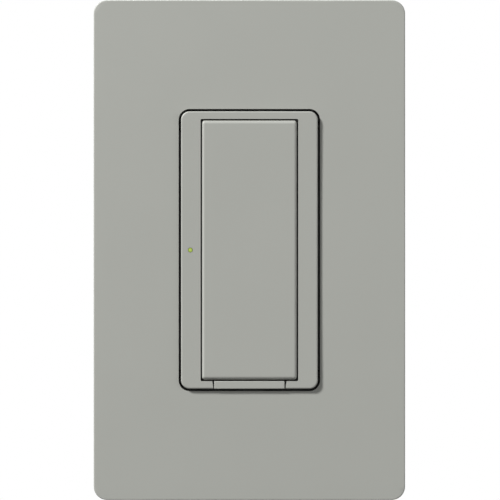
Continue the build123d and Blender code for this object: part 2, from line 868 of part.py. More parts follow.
insulator_sheet.part.label = "insulator_sheet"
export_step(insulator_sheet.part, "parts/insulator_sheet.step")

# Rear case: a drafted shell with screw bosses, ledges, standoffs and terminal pockets
pocket_floor_across = case_width / 2 - pocket_depth
pocket_inner_across = pocket_floor_across - pocket_wall
pocket_half = terminal_plate_width / 2 + pocket_clearance
case_inner_across = case_inner_width / 2
terminals = (
    ("terminal_line", 1, terminal_up),
    ("terminal_load", 1, -terminal_up),
    ("terminal_neutral", -1, terminal_up),
)
plate_top = pocket_top + pocket_clearance
plate_foot = pocket_foot - pocket_clearance
terminal_screw_depth = (plate_top + plate_foot) / 2 - terminal_screw_past_middle
lug_foot = -power_front
lug_front = lug_foot - terminal_lug_thickness
lug_slot_width = terminal_lug_width + 2 * pocket_clearance

with BuildPart() as rear_case:
    with BuildSketch(facing(0)):
        RectangleRounded(case_width, case_height, case_corner)
    extrude(amount=-case_depth, taper=case_draft_deg)
    fillet(rear_case.faces().sort_by(Axis.Y)[-1].edges(), case_edge)
    # Lip against the yoke, ribs along the top and bottom, and a shallow bare panel behind
    with BuildSketch(facing(0)):
        RectangleRounded(case_width + 2 * case_lip, case_height + 2 * case_lip, case_corner)
    extrude(amount=-case_lip_depth)
    rib_edge = case_height / 2 + case_rib
    rib_taper = case_rib + (case_depth - case_edge) * tan(radians(case_draft_deg))
    with BuildSketch(Plane.YZ):
        with BuildLine():
            Polyline(
                (0, rib_edge),
                (case_depth - case_edge, rib_edge - rib_taper),
                (case_depth - case_edge, rib_edge - rib_taper - case_wall / 2),
                (0, rib_edge - case_wall),
                close=True,
            )
        make_face()
    rib_profile = extrude(amount=case_rib_width / 2, both=True, mode=Mode.PRIVATE)
    for across in GridLocations(case_rib_pitch, 0, case_ribs, 1):
        add(across * rib_profile)
        add((across * rib_profile).mirror(Plane.XY))
    with BuildSketch(facing(-case_depth)):
        RectangleRounded(
            case_width - 2 * panel_inset, case_height - 2 * panel_inset, panel_corner
        )
    extrude(amount=panel_depth, mode=Mode.SUBTRACT)
    with BuildSketch(facing(0)):
        RectangleRounded(case_inner_width, case_inner_height, case_corner - case_wall)
    extrude(amount=-(case_depth - case_back), mode=Mode.SUBTRACT)
    with BuildSketch(facing(0)):
        with GridLocations(2 * case_boss_across, 2 * case_boss_up, 2, 2):
            Circle(case_boss_r)
    extrude(amount=-(case_depth - case_back))
    with BuildSketch(facing(control_back)):
        for side in (1, -1):
            with GridLocations(0, 2 * ledge_up, 1, 2):
                with Locations((side * (case_inner_across - ledge_reach / 2), 0)):
                    Rectangle(ledge_reach, ledge_width)
    extrude(amount=-(case_depth - case_back + control_back))
    with BuildSketch(facing(power_back)):
        with GridLocations(2 * standoff_across, 2 * standoff_up, 2, 2):
            Circle(standoff_r)
    extrude(amount=-power_board_back_gap)
    for name, side, up in terminals:
        outer = side * case_width / 2
        block_middle = side * (pocket_inner_across + case_inner_across) / 2
        with BuildSketch(facing(-pocket_top + pocket_wall)):
            with Locations((block_middle, up)):
                Rectangle(
                    case_inner_across - pocket_inner_across,
                    2 * (pocket_half + pocket_wall),
                )
        extrude(amount=-(pocket_foot - pocket_top + 2 * pocket_wall))
        with BuildSketch(facing(-pocket_top)):
            with Locations((outer, up)):
                Rectangle(2 * pocket_depth, 2 * pocket_half)
        extrude(amount=-(pocket_foot - pocket_top), mode=Mode.SUBTRACT)
        with BuildSketch(Plane.YZ.offset(side * pocket_inner_across)):
            with Locations((terminal_screw_depth, up)):
                Circle(machine_r + terminal_shank_clearance)
        extrude(amount=side * pocket_wall, mode=Mode.SUBTRACT)
        lug_middle = side * (pocket_floor_across + terminal_plate_thickness / 2)
        with BuildSketch(facing(-pocket_foot)):
            with Locations((lug_middle, up)):
                Rectangle(terminal_plate_thickness + lug_slot_clearance, lug_slot_width)
        extrude(amount=-pocket_wall, mode=Mode.SUBTRACT)
    with BuildSketch(facing(0)):
        with GridLocations(2 * case_boss_across, 2 * case_boss_up, 2, 2):
            Circle(case_screw_r + case_hole_clearance)
    extrude(amount=-case_depth, mode=Mode.SUBTRACT)
    with BuildSketch(facing(-case_screw_seat)):
        with GridLocations(2 * case_boss_across, 2 * case_boss_up, 2, 2):
            Circle(case_screw_head_r + case_counterbore_clearance)
    extrude(amount=-case_depth, mode=Mode.SUBTRACT)
rear_case.part.label = "rear_housing"
export_step(rear_case.part, "parts/rear_housing.step")

# Four case screws, threaded into the yoke from behind
with BuildPart() as case_screws:
    screw_reach = case_screw_seat + yoke_thickness - case_screw_short
    corners = [
        (side * case_boss_across, case_screw_seat, end * case_boss_up)
        for side in (1, -1)
        for end in (1, -1)
    ]
    for corner in corners:
        add(
            turned(
                corner,
                (0, -1, 0),
                (1, 0, 0),
                [
                    (0, -case_screw_head),
                    (case_screw_head_r - case_head_round_across, -case_screw_head),
                    (case_screw_head_r, -case_screw_head + case_head_round_along),
                    (case_screw_head_r, 0),
                    (case_screw_r, 0),
                    (case_screw_r, screw_reach - case_screw_tip),
                    (case_screw_r - case_screw_tip, screw_reach),
                    (0, screw_reach),
                ],
            )
        )
case_screws.part.label = "housing_screws"
export_step(case_screws.part, "parts/housing_screws.step")

# Control board: notched at the case's bosses, resting on the case's ledges
board_width = case_inner_width - 2 * board_clearance
with BuildPart() as control_board:
    with BuildSketch(facing(control_back)):
        Rectangle(board_width, control_board_height)
        with GridLocations(2 * case_boss_across, 2 * case_boss_up, 2, 2):
            Circle(case_boss_r + boss_notch_clearance, mode=Mode.SUBTRACT)
        with GridLocations(board_width, control_board_height, 2, 2):
            Rectangle(corner_cut, corner_cut, mode=Mode.SUBTRACT)
    extrude(amount=control_board_thickness)
control_board.part.label = "control_board"
export_step(control_board.part, "parts/control_board.step")

# Tactile switch on the control board, right behind the paddle's post
tact_side = 6.0
tact_height = 3.5
tact_corner = 0.6
tact_cover = 0.3
tact_lead = 1.3
tact_lead_width = 0.7
tact_lead_thickness = 0.25
tact_lead_pitch = 4.5
plunger_r = 1.6
plunger_clearance = 0.06
plunger_travel = radians(paddle_travel_deg) * (pivot_up - post_up)
plunger_spare = 0.2
plunger_depth = 1.6
tact_top = control_front + tact_height
plunger_foot = tact_top - plunger_depth
with BuildPart() as tact_body:
    with BuildSketch(facing(control_front)):
        with Locations((0, post_up)):
            RectangleRounded(tact_side, tact_side, tact_corner)
    extrude(amount=tact_height)
    chamfer(tact_body.faces().sort_by(Axis.Y)[0].edges(), tact_cover)
    with BuildSketch(facing(control_front)):
        with Locations((0, post_up)):
            with GridLocations(tact_side + tact_lead, tact_lead_pitch, 2, 2):
                Rectangle(2 * tact_lead, tact_lead_width)
    extrude(amount=tact_lead_thickness)
    with BuildSketch(facing(plunger_foot - plunger_travel - plunger_spare)):
        with Locations((0, post_up)):
            Circle(plunger_r + plunger_clearance)
    extrude(amount=tact_height, mode=Mode.SUBTRACT)
tact_body.part.label = "tact_switch_body"
export_step(tact_body.part, "parts/tact_switch_body.step")

with BuildPart() as plunger:
    with BuildSketch(facing(plunger_foot)):
        with Locations((0, post_up)):
            Circle(plunger_r)
    extrude(amount=plunger_top - plunger_foot)
    chamfer(plunger.faces().sort_by(Axis.Y)[0].edges(), plunger_edge)
plunger.part.label = "tact_switch_plunger"
export_step(plunger.part, "parts/tact_switch_plunger.step")

# Status light on the control board, behind the light pipe
led_width = 1.6
led_length = 2.2
led_base = 0.48
lens_width = 1.3
lens_length = 1.4
with BuildPart() as status_led:
    with BuildSketch(facing(control_front)):
        with Locations((-light_across, 0)):
            Rectangle(led_width, led_length)
    extrude(amount=led_base)
    with BuildSketch(facing(control_front)):
        with Locations((-light_across, 0)):
            Rectangle(lens_width, lens_length)
    extrude(amount=led_height)
status_led.part.label = "status_led"
export_step(status_led.part, "parts/status_led.step")

# Microcontroller: a square package with gull-wing leads on each side
chip_side = 7.0
chip_height = 1.1
chip_across = -8.0
chip_up = -14.0
chip_standoff = 0.1
lead_reach = 1.0
lead_root = 0.4
lead_width = 0.45
lead_thickness = 0.3
lead_pitch = 1.3
leads_a_side = 5
lead_length = lead_reach + lead_root
with BuildPart() as microcontroller:
    with BuildSketch(facing(control_front + chip_standoff)):
        with Locations((chip_across, chip_up)):
            Rectangle(chip_side, chip_side)
    extrude(amount=chip_height)
    with BuildSketch(facing(control_front)):
        with Locations((chip_across, chip_up)):
            with GridLocations(lead_pitch, chip_side + lead_reach, leads_a_side, 2):
                Rectangle(lead_width, lead_length)
            with GridLocations(chip_side + lead_reach, lead_pitch, 2, leads_a_side):
                Rectangle(lead_length, lead_width)
    extrude(amount=lead_thickness)
microcontroller.part.label = "microcontroller"
export_step(microcontroller.part, "parts/microcontroller.step")

# Radio module: a small board under a drawn metal can
radio_across = 7.0
radio_from_end = 14.7
radio_width = 15.0
radio_length = 18.0
radio_board = 0.6
can_side = 13.6
can_corner = 0.8
can_edge = 0.3
can_thickness = 1.5
radio_up = radio_from_end - control_board_height / 2
can_below_middle = (radio_length - can_side) / 2 - (radio_width - can_side) / 2
with BuildPart() as radio_module:
    with BuildSketch(facing(control_front)):
        with Locations((radio_across, radio_up)):
            Rectangle(radio_width, radio_length)
    extrude(amount=radio_board)
    with BuildSketch(facing(control_front + radio_board)):
        with Locations((radio_across, radio_up - can_below_middle)):
            RectangleRounded(can_side, can_side, can_corner)
    extrude(amount=can_thickness)
    fillet(radio_module.faces().sort_by(Axis.Y)[0].edges(), can_edge)
radio_module.part.label = "radio_module"
export_step(radio_module.part, "parts/radio_module.step")

# Antenna: a bent metal strip on the frame's floor, its foot going back to the board
with BuildPart() as antenna:
    with BuildSketch(facing(floor_front)):
        with Locations((0, antenna_up)):
            Rectangle(2 * antenna_across, antenna_strip)
        for side in (1, -1):
            with Locations((side * (antenna_across - antenna_strip / 2), antenna_up)):
                Rectangle(
                    antenna_strip,
                    antenna_up - antenna_foot_up + antenna_thickness,
                    align=(Align.CENTER, Align.MAX),
                )
    extrude(amount=antenna_thickness)
    with BuildSketch(facing(floor_front + antenna_thickness)):
        with Locations((antenna_foot_across, antenna_foot_up)):
            Rectangle(antenna_strip, antenna_thickness, align=(Align.CENTER, Align.MAX))
    extrude(amount=-(floor_front + antenna_thickness - control_front))
antenna.part.label = "antenna"
export_step(antenna.part, "parts/antenna.step")

# Header: a moulded strip on the power board with long pins up to the control board
header_from_side = 1.9
header_up = -11.0
header_strip = 2.5
header_pins = 5
pin_pitch = 2.54
pin_side = 0.64
power_width = case_inner_width - 2 * (ledge_reach + board_clearance)
power_height = case_inner_height - 2 * board_clearance
header_across = header_from_side - power_width / 2
with BuildPart() as board_header:
    with BuildSketch(facing(power_front)):
        with Locations((header_across, header_up)):
            Rectangle(header_strip, header_pins * pin_pitch)
    extrude(amount=header_strip)
    with BuildSketch(facing(power_front)):
        with Locations((header_across, header_up)):
            with GridLocations(0, pin_pitch, 1, header_pins):
                Rectangle(pin_side, pin_side)
    extrude(amount=control_back - power_front)
board_header.part.label = "board_header"
export_step(board_header.part, "parts/board_header.step")

# Power board on the case's standoffs, notched at the bosses
with BuildPart() as power_board:
    with BuildSketch(facing(power_back)):
        Rectangle(power_width, power_height)
        with GridLocations(2 * case_boss_across, 2 * case_boss_up, 2, 2):
            Circle(case_boss_r + boss_notch_clearance, mode=Mode.SUBTRACT)
        with GridLocations(power_width, power_height, 2, 2):
            Rectangle(corner_cut, corner_cut, mode=Mode.SUBTRACT)
    extrude(amount=power_board_thickness)
power_board.part.label = "power_board"
export_step(power_board.part, "parts/power_board.step")

# Relay: a sealed box with a rounded lid
relay_across = -7.3
relay_from_end = 15.1
relay_width = 15.2
relay_length = 19.0
relay_height = 15.4
relay_corner = 0.6
relay_edge = 0.4
relay_up = power_height / 2 - relay_from_end
with BuildPart() as relay:
    with BuildSketch(facing(power_front)):
        with Locations((relay_across, relay_up)):
            Rectangle(relay_width, relay_length)
    extrude(amount=relay_height)
    fillet(relay.edges().filter_by(Axis.Y), relay_corner)
    fillet(relay.faces().sort_by(Axis.Y)[0].edges(), relay_edge)
relay.part.label = "relay"
export_step(relay.part, "parts/relay.step")

# Film capacitor: a potted box
film_across = 4.4
film_from_end = 12.6
film_width = 6.0
film_length = 13.0
film_height = 11.5
film_corner = 0.5
film_up = power_height / 2 - film_from_end
with BuildPart() as film_capacitor:
    with BuildSketch(facing(power_front)):
        with Locations((film_across, film_up)):
            Rectangle(film_width, film_length)
    extrude(amount=film_height)
    fillet(film_capacitor.edges().filter_by(Axis.Y), film_corner)
film_capacitor.part.label = "film_capacitor"
export_step(film_capacitor.part, "parts/film_capacitor.step")

# Electrolytic capacitor: a rolled can with a crimp above its bung
can_across = 4.8
can_up = -2.0
can_r = 4.0
can_height = 12.0
can_shoulder = 0.5
crimp_start = 1.6
with BuildPart() as filter_capacitor:
    add(
        turned(
            (can_across, -power_front, can_up),
            (0, -1, 0),
            (1, 0, 0),
            [
                (0, 0),
                (can_r - can_shoulder, 0),
                (can_r, can_shoulder),
                (can_r, crimp_start),
                (can_r - can_shoulder, crimp_start + can_shoulder),
                (can_r, crimp_start + 2 * can_shoulder),
                (can_r, can_height - can_shoulder),
                (can_r - can_shoulder, can_height),
                (0, can_height),
            ],
        )
    )
filter_capacitor.part.label = "filter_capacitor"
export_step(filter_capacitor.part, "parts/filter_capacitor.step")

# Transformer: a bobbin with its winding inside a ferrite core
core_across = -8.2
core_up = -6.5
core_width = 13.0
core_length = 13.5
core_height = 12.0
core_limb = 3.0
core_breadth = 4.8
bobbin_foot = 2.0
bobbin_flange = 1.0
flange_inset = 1.5
winding_inset = 1.0
with BuildPart() as transformer:
    with BuildSketch(facing(power_front)):
        with Locations((core_across, core_up)):
            Rectangle(core_width - bobbin_flange, core_length)
    extrude(amount=bobbin_foot)
    with BuildSketch(facing(power_front)):
        with Locations((core_across, core_up)):
            Rectangle(core_width, core_breadth)
    extrude(amount=core_height)
    with BuildSketch(facing(power_front + core_height - 2 * bobbin_flange)):
        with Locations((core_across, core_up)):
            Rectangle(core_width - 2 * flange_inset, core_length - bobbin_flange)
    extrude(amount=bobbin_flange)
    with BuildSketch(facing(power_front)):
        with Locations((core_across, core_up)):
            SlotOverall(
                core_length - 2 * winding_inset, core_width - 2 * core_limb, rotation=90
            )
    extrude(amount=core_height - 2 * bobbin_flange)
transformer.part.label = "transformer"
export_step(transformer.part, "parts/transformer.step")

# Choke: a drum core on end
choke_across = 4.8
choke_up = -14.5
choke_r = 4.0
choke_height = 9.0
choke_flange = 1.2
choke_neck = 0.6
with BuildPart() as choke:
    add(
        turned(
            (choke_across, -power_front, choke_up),
            (0, -1, 0),
            (1, 0, 0),
            [
                (0, 0),
                (choke_r, 0),
                (choke_r, choke_flange),
                (choke_r - choke_neck, choke_flange),
                (choke_r - choke_neck, choke_height - choke_flange),
                (choke_r, choke_height - choke_flange),
                (choke_r, choke_height),
                (0, choke_height),
            ],
        )
    )
choke.part.label = "inductor"
export_step(choke.part, "parts/inductor.step")

# Bridge rectifier: a flat package with four leads
bridge_across = 12.6
bridge_up = 0.0
bridge_width = 4.0
bridge_length = 4.8
bridge_height = 2.3
bridge_lead = 1.6
bridge_lead_width = 0.7
bridge_lead_thickness = 0.5
bridge_lead_pitch = 2.6
with BuildPart() as rectifier:
    with BuildSketch(facing(power_front + chip_standoff)):
        with Locations((bridge_across, bridge_up)):
            Rectangle(bridge_width, bridge_length)
    extrude(amount=bridge_height)
    with BuildSketch(facing(power_front)):
        with Locations((bridge_across, bridge_up)):
            with GridLocations(bridge_width + bridge_lead, bridge_lead_pitch, 2, 2):
                Rectangle(bridge_lead + 2 * chip_standoff, bridge_lead_width)
    extrude(amount=bridge_lead_thickness)
rectifier.part.label = "rectifier"
export_step(rectifier.part, "parts/rectifier.step")

# Varistor: a dipped disc standing on its legs
disc_across = 11.8
disc_from_end = 8.1
disc_r = 4.6
disc_thickness = 3.6
disc_rim = 1.2
disc_shoulder = 0.35
disc_leg = 1.2
disc_leg_side = 0.8
disc_leg_pitch = 5.0
disc_up = power_height / 2 - disc_from_end
with BuildPart() as varistor:
    add(
        turned(
            (disc_across - disc_thickness / 2, -power_front - disc_leg - disc_r, disc_up),
            (1, 0, 0),
            (0, 1, 0),
            [
                (0, 0),
                (disc_r - disc_rim, 0),
                (disc_r - disc_shoulder, disc_shoulder),
                (disc_r, disc_rim),
                (disc_r, disc_thickness - disc_rim),
                (disc_r - disc_shoulder, disc_thickness - disc_shoulder),
                (disc_r - disc_rim, disc_thickness),
                (0, disc_thickness),
            ],
        )
    )
    with BuildSketch(facing(power_front)):
        with Locations((disc_across, disc_up)):
            with GridLocations(0, disc_leg_pitch, 1, 2):
                Rectangle(disc_leg_side, disc_leg_side)
    extrude(amount=disc_leg + disc_r / 2)
varistor.part.label = "varistor"
export_step(varistor.part, "parts/varistor.step")

# Fuse: a small moulded box
fuse_across = 12.0
fuse_from_end = 15.1
fuse_width = 8.5
fuse_length = 4.0
fuse_height = 7.6
fuse_corner = 0.5
fuse_up = power_height / 2 - fuse_from_end
with BuildPart() as fuse:
    with BuildSketch(facing(power_front)):
        with Locations((fuse_across, fuse_up)):
            RectangleRounded(fuse_width, fuse_length, fuse_corner)
    extrude(amount=fuse_height)
fuse.part.label = "fuse"
export_step(fuse.part, "parts/fuse.step")

# Bracket under the leaf's root: a bent brass strip on the power board
leaf_middle_up = tab_centre_up + tab_web / 2 + tab_slot_clearance + leaf_width / 2
pad_front = -leaf_depth - contact_gap
foot_reach = 1.6


def bent_bracket(across, top, up):
    """A strip standing on the power board: a foot, an upright and a pad, as one section."""
    half = leaf_post_width / 2
    with BuildPart() as bracket:
        with BuildSketch(cut_across(up, across)):
            with BuildLine():
                Polyline(
                    (-half, -top),
                    (half, -top),
                    (half, -top + leaf_post_thickness),
                    (-half + leaf_post_thickness, -top + leaf_post_thickness),
                    (-half + leaf_post_thickness, -power_front - leaf_post_thickness),
                    (half - foot_reach / 2, -power_front - leaf_post_thickness),
                    (half - foot_reach / 2, -power_front),
                    (-half, -power_front),
                    close=True,
                )
            make_face()
        extrude(amount=leaf_width / 2, both=True)
    return bracket.part


with BuildPart() as leaf_bracket:
    add(bent_bracket(leaf_root_across + leaf_post_width / 2, pad_front, leaf_middle_up))
leaf_bracket.part.label = "leaf_bracket"
export_step(leaf_bracket.part, "parts/leaf_bracket.step")

# Isolating leaf: a bronze strip with a rivet at its root and a silver contact
contact_across = leaf_root_across + contact_from_root
with BuildPart() as airgap_leaf:
    with BuildSketch(facing(-leaf_depth)):
        with Locations((leaf_root_across, leaf_middle_up)):
            Rectangle(leaf_length, leaf_width, align=(Align.MIN, Align.CENTER))
    extrude(amount=leaf_thickness)
    with BuildSketch(facing(-leaf_depth + leaf_thickness)):
        with Locations(
            (leaf_root_across + leaf_post_width / 2, leaf_middle_up),
            (contact_across, leaf_middle_up),
        ):
            Circle(contact_r * rivet_share)
    extrude(amount=rivet_head)
    with BuildSketch(facing(-leaf_depth)):
        with Locations((contact_across, leaf_middle_up)):
            Circle(contact_r)
    extrude(amount=-contact_thickness)
airgap_leaf.part.label = "airgap_leaf"
export_step(airgap_leaf.part, "parts/airgap_leaf.step")

# Fixed contact of the isolating switch, on its own bracket
fixed_pad_front = -leaf_depth - 2 * contact_thickness - contact_gap
with BuildPart() as airgap_contact:
    add(bent_bracket(contact_across, fixed_pad_front, leaf_middle_up))
    with BuildSketch(facing(fixed_pad_front)):
        with Locations((contact_across, leaf_middle_up)):
            Circle(contact_r)
    extrude(amount=contact_thickness)
airgap_contact.part.label = "airgap_contact"
export_step(airgap_contact.part, "parts/airgap_contact.step")

# Terminal plates: brass plates in the case's pockets, each with a lug onto the power board
plate_seat_across = pocket_floor_across + terminal_seat_gap
for name, side, up in terminals:
    with BuildPart() as terminal:
        inner = side * plate_seat_across
        outer = side * (plate_seat_across + terminal_plate_thickness)
        with BuildSketch(cut_across(up)):
            with BuildLine():
                Polyline(
                    (inner, plate_top),
                    (outer, plate_top),
                    (outer, plate_foot),
                    (inner, plate_foot),
                    close=True,
                )
            make_face()
        extrude(amount=terminal_plate_width / 2, both=True)
        with BuildSketch(cut_across(up)):
            with BuildLine():
                Polyline(
                    (inner, plate_foot),
                    (outer, plate_foot),
                    (outer, lug_foot),
                    (inner - side * terminal_lug_length, lug_foot),
                    (inner - side * terminal_lug_length, lug_front),
                    (inner, lug_front),
                    close=True,
                )
            make_face()
        extrude(amount=terminal_lug_width / 2, both=True)
        with BuildSketch(Plane.YZ.offset(inner)):
            with Locations((terminal_screw_depth, up)):
                Circle(machine_r + thread_clearance)
        extrude(amount=side * terminal_plate_thickness, mode=Mode.SUBTRACT)
    terminal.part.label = name
    export_step(terminal.part, f"parts/{name}.step")

# Terminal screws: pan heads against the plates, their tips inside the case
with BuildPart() as terminal_screws:
    for name, side, up in terminals:
        add(
            turned(
                (
                    side * (plate_seat_across + terminal_plate_thickness),
                    terminal_screw_depth,
                    up,
                ),
                (-side, 0, 0),
                (0, 1, 0),
                [
                    (0, -terminal_head),
                    (terminal_head_r - terminal_head_edge, -terminal_head),
                    (terminal_head_r, -terminal_head + terminal_head_edge),
                    (terminal_head_r, 0),
                    (machine_r, 0),
                    (machine_r, terminal_screw_length - terminal_screw_tip),
                    (machine_r - terminal_screw_tip, terminal_screw_length),
                    (0, terminal_screw_length),
                ],
            )
        )
        head_face = side * (plate_seat_across + terminal_plate_thickness + terminal_head)
        with BuildSketch(Plane.YZ.offset(head_face)):
            with Locations((terminal_screw_depth, up)):
                Rectangle(drive_slot_width, 3 * terminal_head_r)
        extrude(amount=-side * drive_slot_depth, mode=Mode.SUBTRACT)
terminal_screws.part.label = "terminal_screws"
export_step(terminal_screws.part, "parts/terminal_screws.step")
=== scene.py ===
import math

import bpy
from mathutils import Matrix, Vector


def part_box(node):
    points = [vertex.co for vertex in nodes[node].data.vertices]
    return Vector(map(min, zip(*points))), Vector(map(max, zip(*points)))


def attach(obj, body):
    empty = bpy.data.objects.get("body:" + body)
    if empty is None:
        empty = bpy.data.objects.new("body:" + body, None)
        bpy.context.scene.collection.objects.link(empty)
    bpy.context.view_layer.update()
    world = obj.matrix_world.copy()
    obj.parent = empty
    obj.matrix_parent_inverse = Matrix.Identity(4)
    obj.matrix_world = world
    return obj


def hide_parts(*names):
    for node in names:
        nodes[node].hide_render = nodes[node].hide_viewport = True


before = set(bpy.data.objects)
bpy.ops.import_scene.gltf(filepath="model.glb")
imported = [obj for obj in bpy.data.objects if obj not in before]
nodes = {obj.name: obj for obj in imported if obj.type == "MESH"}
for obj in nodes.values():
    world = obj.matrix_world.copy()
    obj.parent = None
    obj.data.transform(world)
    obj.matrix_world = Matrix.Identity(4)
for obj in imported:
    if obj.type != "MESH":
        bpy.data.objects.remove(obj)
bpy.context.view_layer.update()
scene = bpy.context.scene
scene.view_settings.view_transform = "Standard"
bpy.ops.object.select_all(action="DESELECT")

# The photograph's place in front of the wall: head-on, from so far off that no side of the
# plate shows. The plate just fills the picture's height, a hair left of its middle.
picture_height = 500
plate_height_in_picture = 500.3
plate_middle_in_picture = (249.4, 250.05)
lens_mm = 250
sensor_mm = 36
plate_low, plate_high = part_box("wall_plate")
metres_per_pixel = (plate_high.z - plate_low.z) / plate_height_in_picture
camera_distance = picture_height * metres_per_pixel * lens_mm / sensor_mm
camera_data = bpy.data.cameras.new("camera")
camera_data.lens = lens_mm
camera_data.sensor_width = sensor_mm
camera_data.clip_start = 0.05
camera_data.clip_end = 20
camera = bpy.data.objects.new("camera", camera_data)
scene.collection.objects.link(camera)
camera.location = (
    (picture_height / 2 - plate_middle_in_picture[0]) * metres_per_pixel,
    plate_low.y - camera_distance,
    (plate_middle_in_picture[1] - picture_height / 2) * metres_per_pixel,
)
camera.rotation_euler = (math.radians(90), 0, 0)
scene.camera = camera

# Studio light: a broad lamp high on the left throws the thin shadows at the right and
# bottom of the opening, weaker ones fill from the right and from behind, and the room is
# even and pale.
for name, place, side, power in (
    ("key_lamp", (-2.24, -1.44, 2.14), 0.44, 197.0),
    ("fill_lamp", (1.4, -0.7, 0.0), 0.8, 7.0),
    ("back_lamp", (-0.5, 1.2, 0.9), 0.8, 18.0),
):
    lamp_data = bpy.data.lights.new(name, "AREA")
    lamp_data.size = side
    lamp_data.energy = power
    lamp = bpy.data.objects.new(name, lamp_data)
    scene.collection.objects.link(lamp)
    lamp.location = place
    lamp.rotation_euler = (-Vector(place)).to_track_quat("-Z", "Y").to_euler()


def worked_out(tree, operation, *terms):
    """The output of a math node, each of whose terms is a number or another node's output."""
    node = tree.nodes.new("ShaderNodeMath")
    node.operation = operation
    for term, socket in zip(terms, node.inputs):
        if isinstance(term, (int, float)):
            socket.default_value = term
        else:
            tree.links.new(term, socket)
    return node.outputs[0]


room_light = 0.13
room = bpy.data.worlds.new("room")
scene.world = room
room.use_nodes = True
room_tree = room.node_tree
rays = room_tree.nodes.new("ShaderNodeLightPath").outputs
seen = worked_out(room_tree, "MAXIMUM", rays["Is Camera Ray"], rays["Is Transmission Ray"])
seen_or_mirrored = worked_out(room_tree, "MAXIMUM", seen, rays["Is Glossy Ray"])
strength = room_tree.nodes.new("ShaderNodeMapRange")
strength.inputs["To Min"].default_value = room_light
strength.inputs["To Max"].default_value = 1.0
backdrop = room_tree.nodes["Background"]
backdrop.inputs["Color"].default_value = (1, 1, 1, 1)
room_tree.links.new(seen_or_mirrored, strength.inputs["Value"])
room_tree.links.new(strength.outputs[0], backdrop.inputs["Strength"])


# Floor: plain and white, as far under the switch as a floor is under one on its wall, so it
# hides no view from below. It adds no light to the switch and doesn't show in its metal.
def new_material(name):
    """An empty material, with its node tree and its shader."""
    material = bpy.data.materials.new(name)
    material.use_nodes = True
    return material, material.node_tree, material.node_tree.nodes["Principled BSDF"]


floor_drop = 1.15
floor_side = 2.4
bpy.ops.mesh.primitive_plane_add(
    size=floor_side, location=(0, 0, plate_low.z - floor_drop)
)
floor = bpy.context.object
floor.name = "studio_floor"
floor.visible_diffuse = False
floor.visible_glossy = False
floor_paint, paint_tree, paint_shader = new_material("floor_paint")
paint_shader.inputs["Base Color"].default_value = (0.86, 0.86, 0.86, 1)
paint_shader.inputs["Roughness"].default_value = 0.7
paint_shader.inputs["Emission Color"].default_value = (1, 1, 1, 1)
paint_rays = paint_tree.nodes.new("ShaderNodeLightPath").outputs
paint_tree.links.new(paint_rays["Is Camera Ray"], paint_shader.inputs["Emission Strength"])
floor.data.materials.append(floor_paint)
floor.select_set(False)


# Wall plate: one crowned moulding in grey satin plastic with a fine spark-eroded grain. It
# snaps over the sub-plate, so no screw shows.
finest_relief = 0.00002
cloud_scale = 60
cloud_roughness = 0.12


def surface_group(name, inputs):
    """A node group with these inputs that puts out a colour, a roughness and a normal."""
    group = bpy.data.node_groups.new(name, "ShaderNodeTree")
    for label, kind, start in inputs:
        socket = group.interface.new_socket(label, in_out="INPUT", socket_type=kind)
        socket.default_value = start
    for label, kind in (
        ("Color", "NodeSocketColor"),
        ("Roughness", "NodeSocketFloat"),
        ("Normal", "NodeSocketVector"),
    ):
        group.interface.new_socket(label, in_out="OUTPUT", socket_type=kind)
    return group


def moulded_grain():
    """Fine grain of a spark-eroded mould, with the faint unevenness of moulded plastic."""
    group = surface_group(
        "moulded_grain",
        (
            ("Plastic", "NodeSocketColor", (0.4, 0.4, 0.4, 1)),
            ("Grain Scale", "NodeSocketFloat", 5000.0),
            ("Grain Height", "NodeSocketFloat", 0.1),
            ("Roughness", "NodeSocketFloat", 0.5),
            ("Unevenness", "NodeSocketFloat", 0.02),
        ),
    )
    add = group.nodes.new
    link = group.links.new
    given = add("NodeGroupInput").outputs
    result = add("NodeGroupOutput").inputs
    place = add("ShaderNodeTexCoord").outputs["Object"]
    clouds = add("ShaderNodeTexNoise")
    clouds.inputs["Scale"].default_value = cloud_scale
    clouds.inputs["Detail"].default_value = 3
    link(place, clouds.inputs["Vector"])
    centred = worked_out(group, "SUBTRACT", clouds.outputs["Fac"], 0.5)
    uneven = worked_out(group, "MULTIPLY_ADD", centred, given["Unevenness"], 1.0)
    tone = add("ShaderNodeVectorMath")
    tone.operation = "SCALE"
    link(given["Plastic"], tone.inputs[0])
    link(uneven, tone.inputs["Scale"])
    link(tone.outputs[0], result["Color"])
    rough = worked_out(group, "MULTIPLY_ADD", centred, cloud_roughness, given["Roughness"])
    link(rough, result["Roughness"])
    grain = add("ShaderNodeTexNoise")
    grain.inputs["Detail"].default_value = 2
    link(place, grain.inputs["Vector"])
    link(given["Grain Scale"], grain.inputs["Scale"])
    relief = add("ShaderNodeBump")
    relief.inputs["Distance"].default_value = finest_relief
    link(given["Grain Height"], relief.inputs["Strength"])
    link(grain.outputs["Fac"], relief.inputs["Height"])
    link(relief.outputs["Normal"], result["Normal"])
    return group


grain_group = moulded_grain()


def dress_shader(tree, effect, shader):
    """Feed an effect's colour, roughness and normal to a material's shader."""
    tree.links.new(effect.outputs["Color"], shader.inputs["Base Color"])
    tree.links.new(effect.outputs["Roughness"], shader.inputs["Roughness"])
    tree.links.new(effect.outputs["Normal"], shader.inputs["Normal"])


def moulded_plastic(name, plastic, grain_scale, grain_height, roughness, unevenness):
    """A plastic moulding's material: its colour and the mould's grain."""
    material, tree, shader = new_material(name)
    grained = tree.nodes.new("ShaderNodeGroup")
    grained.node_tree = grain_group
    grained.inputs["Plastic"].default_value = (*plastic, 1)
    grained.inputs["Grain Scale"].default_value = grain_scale
    grained.inputs["Grain Height"].default_value = grain_height
    grained.inputs["Roughness"].default_value = roughness
    grained.inputs["Unevenness"].default_value = unevenness
    dress_shader(tree, grained, shader)
    return material


merge_distance = 1e-6


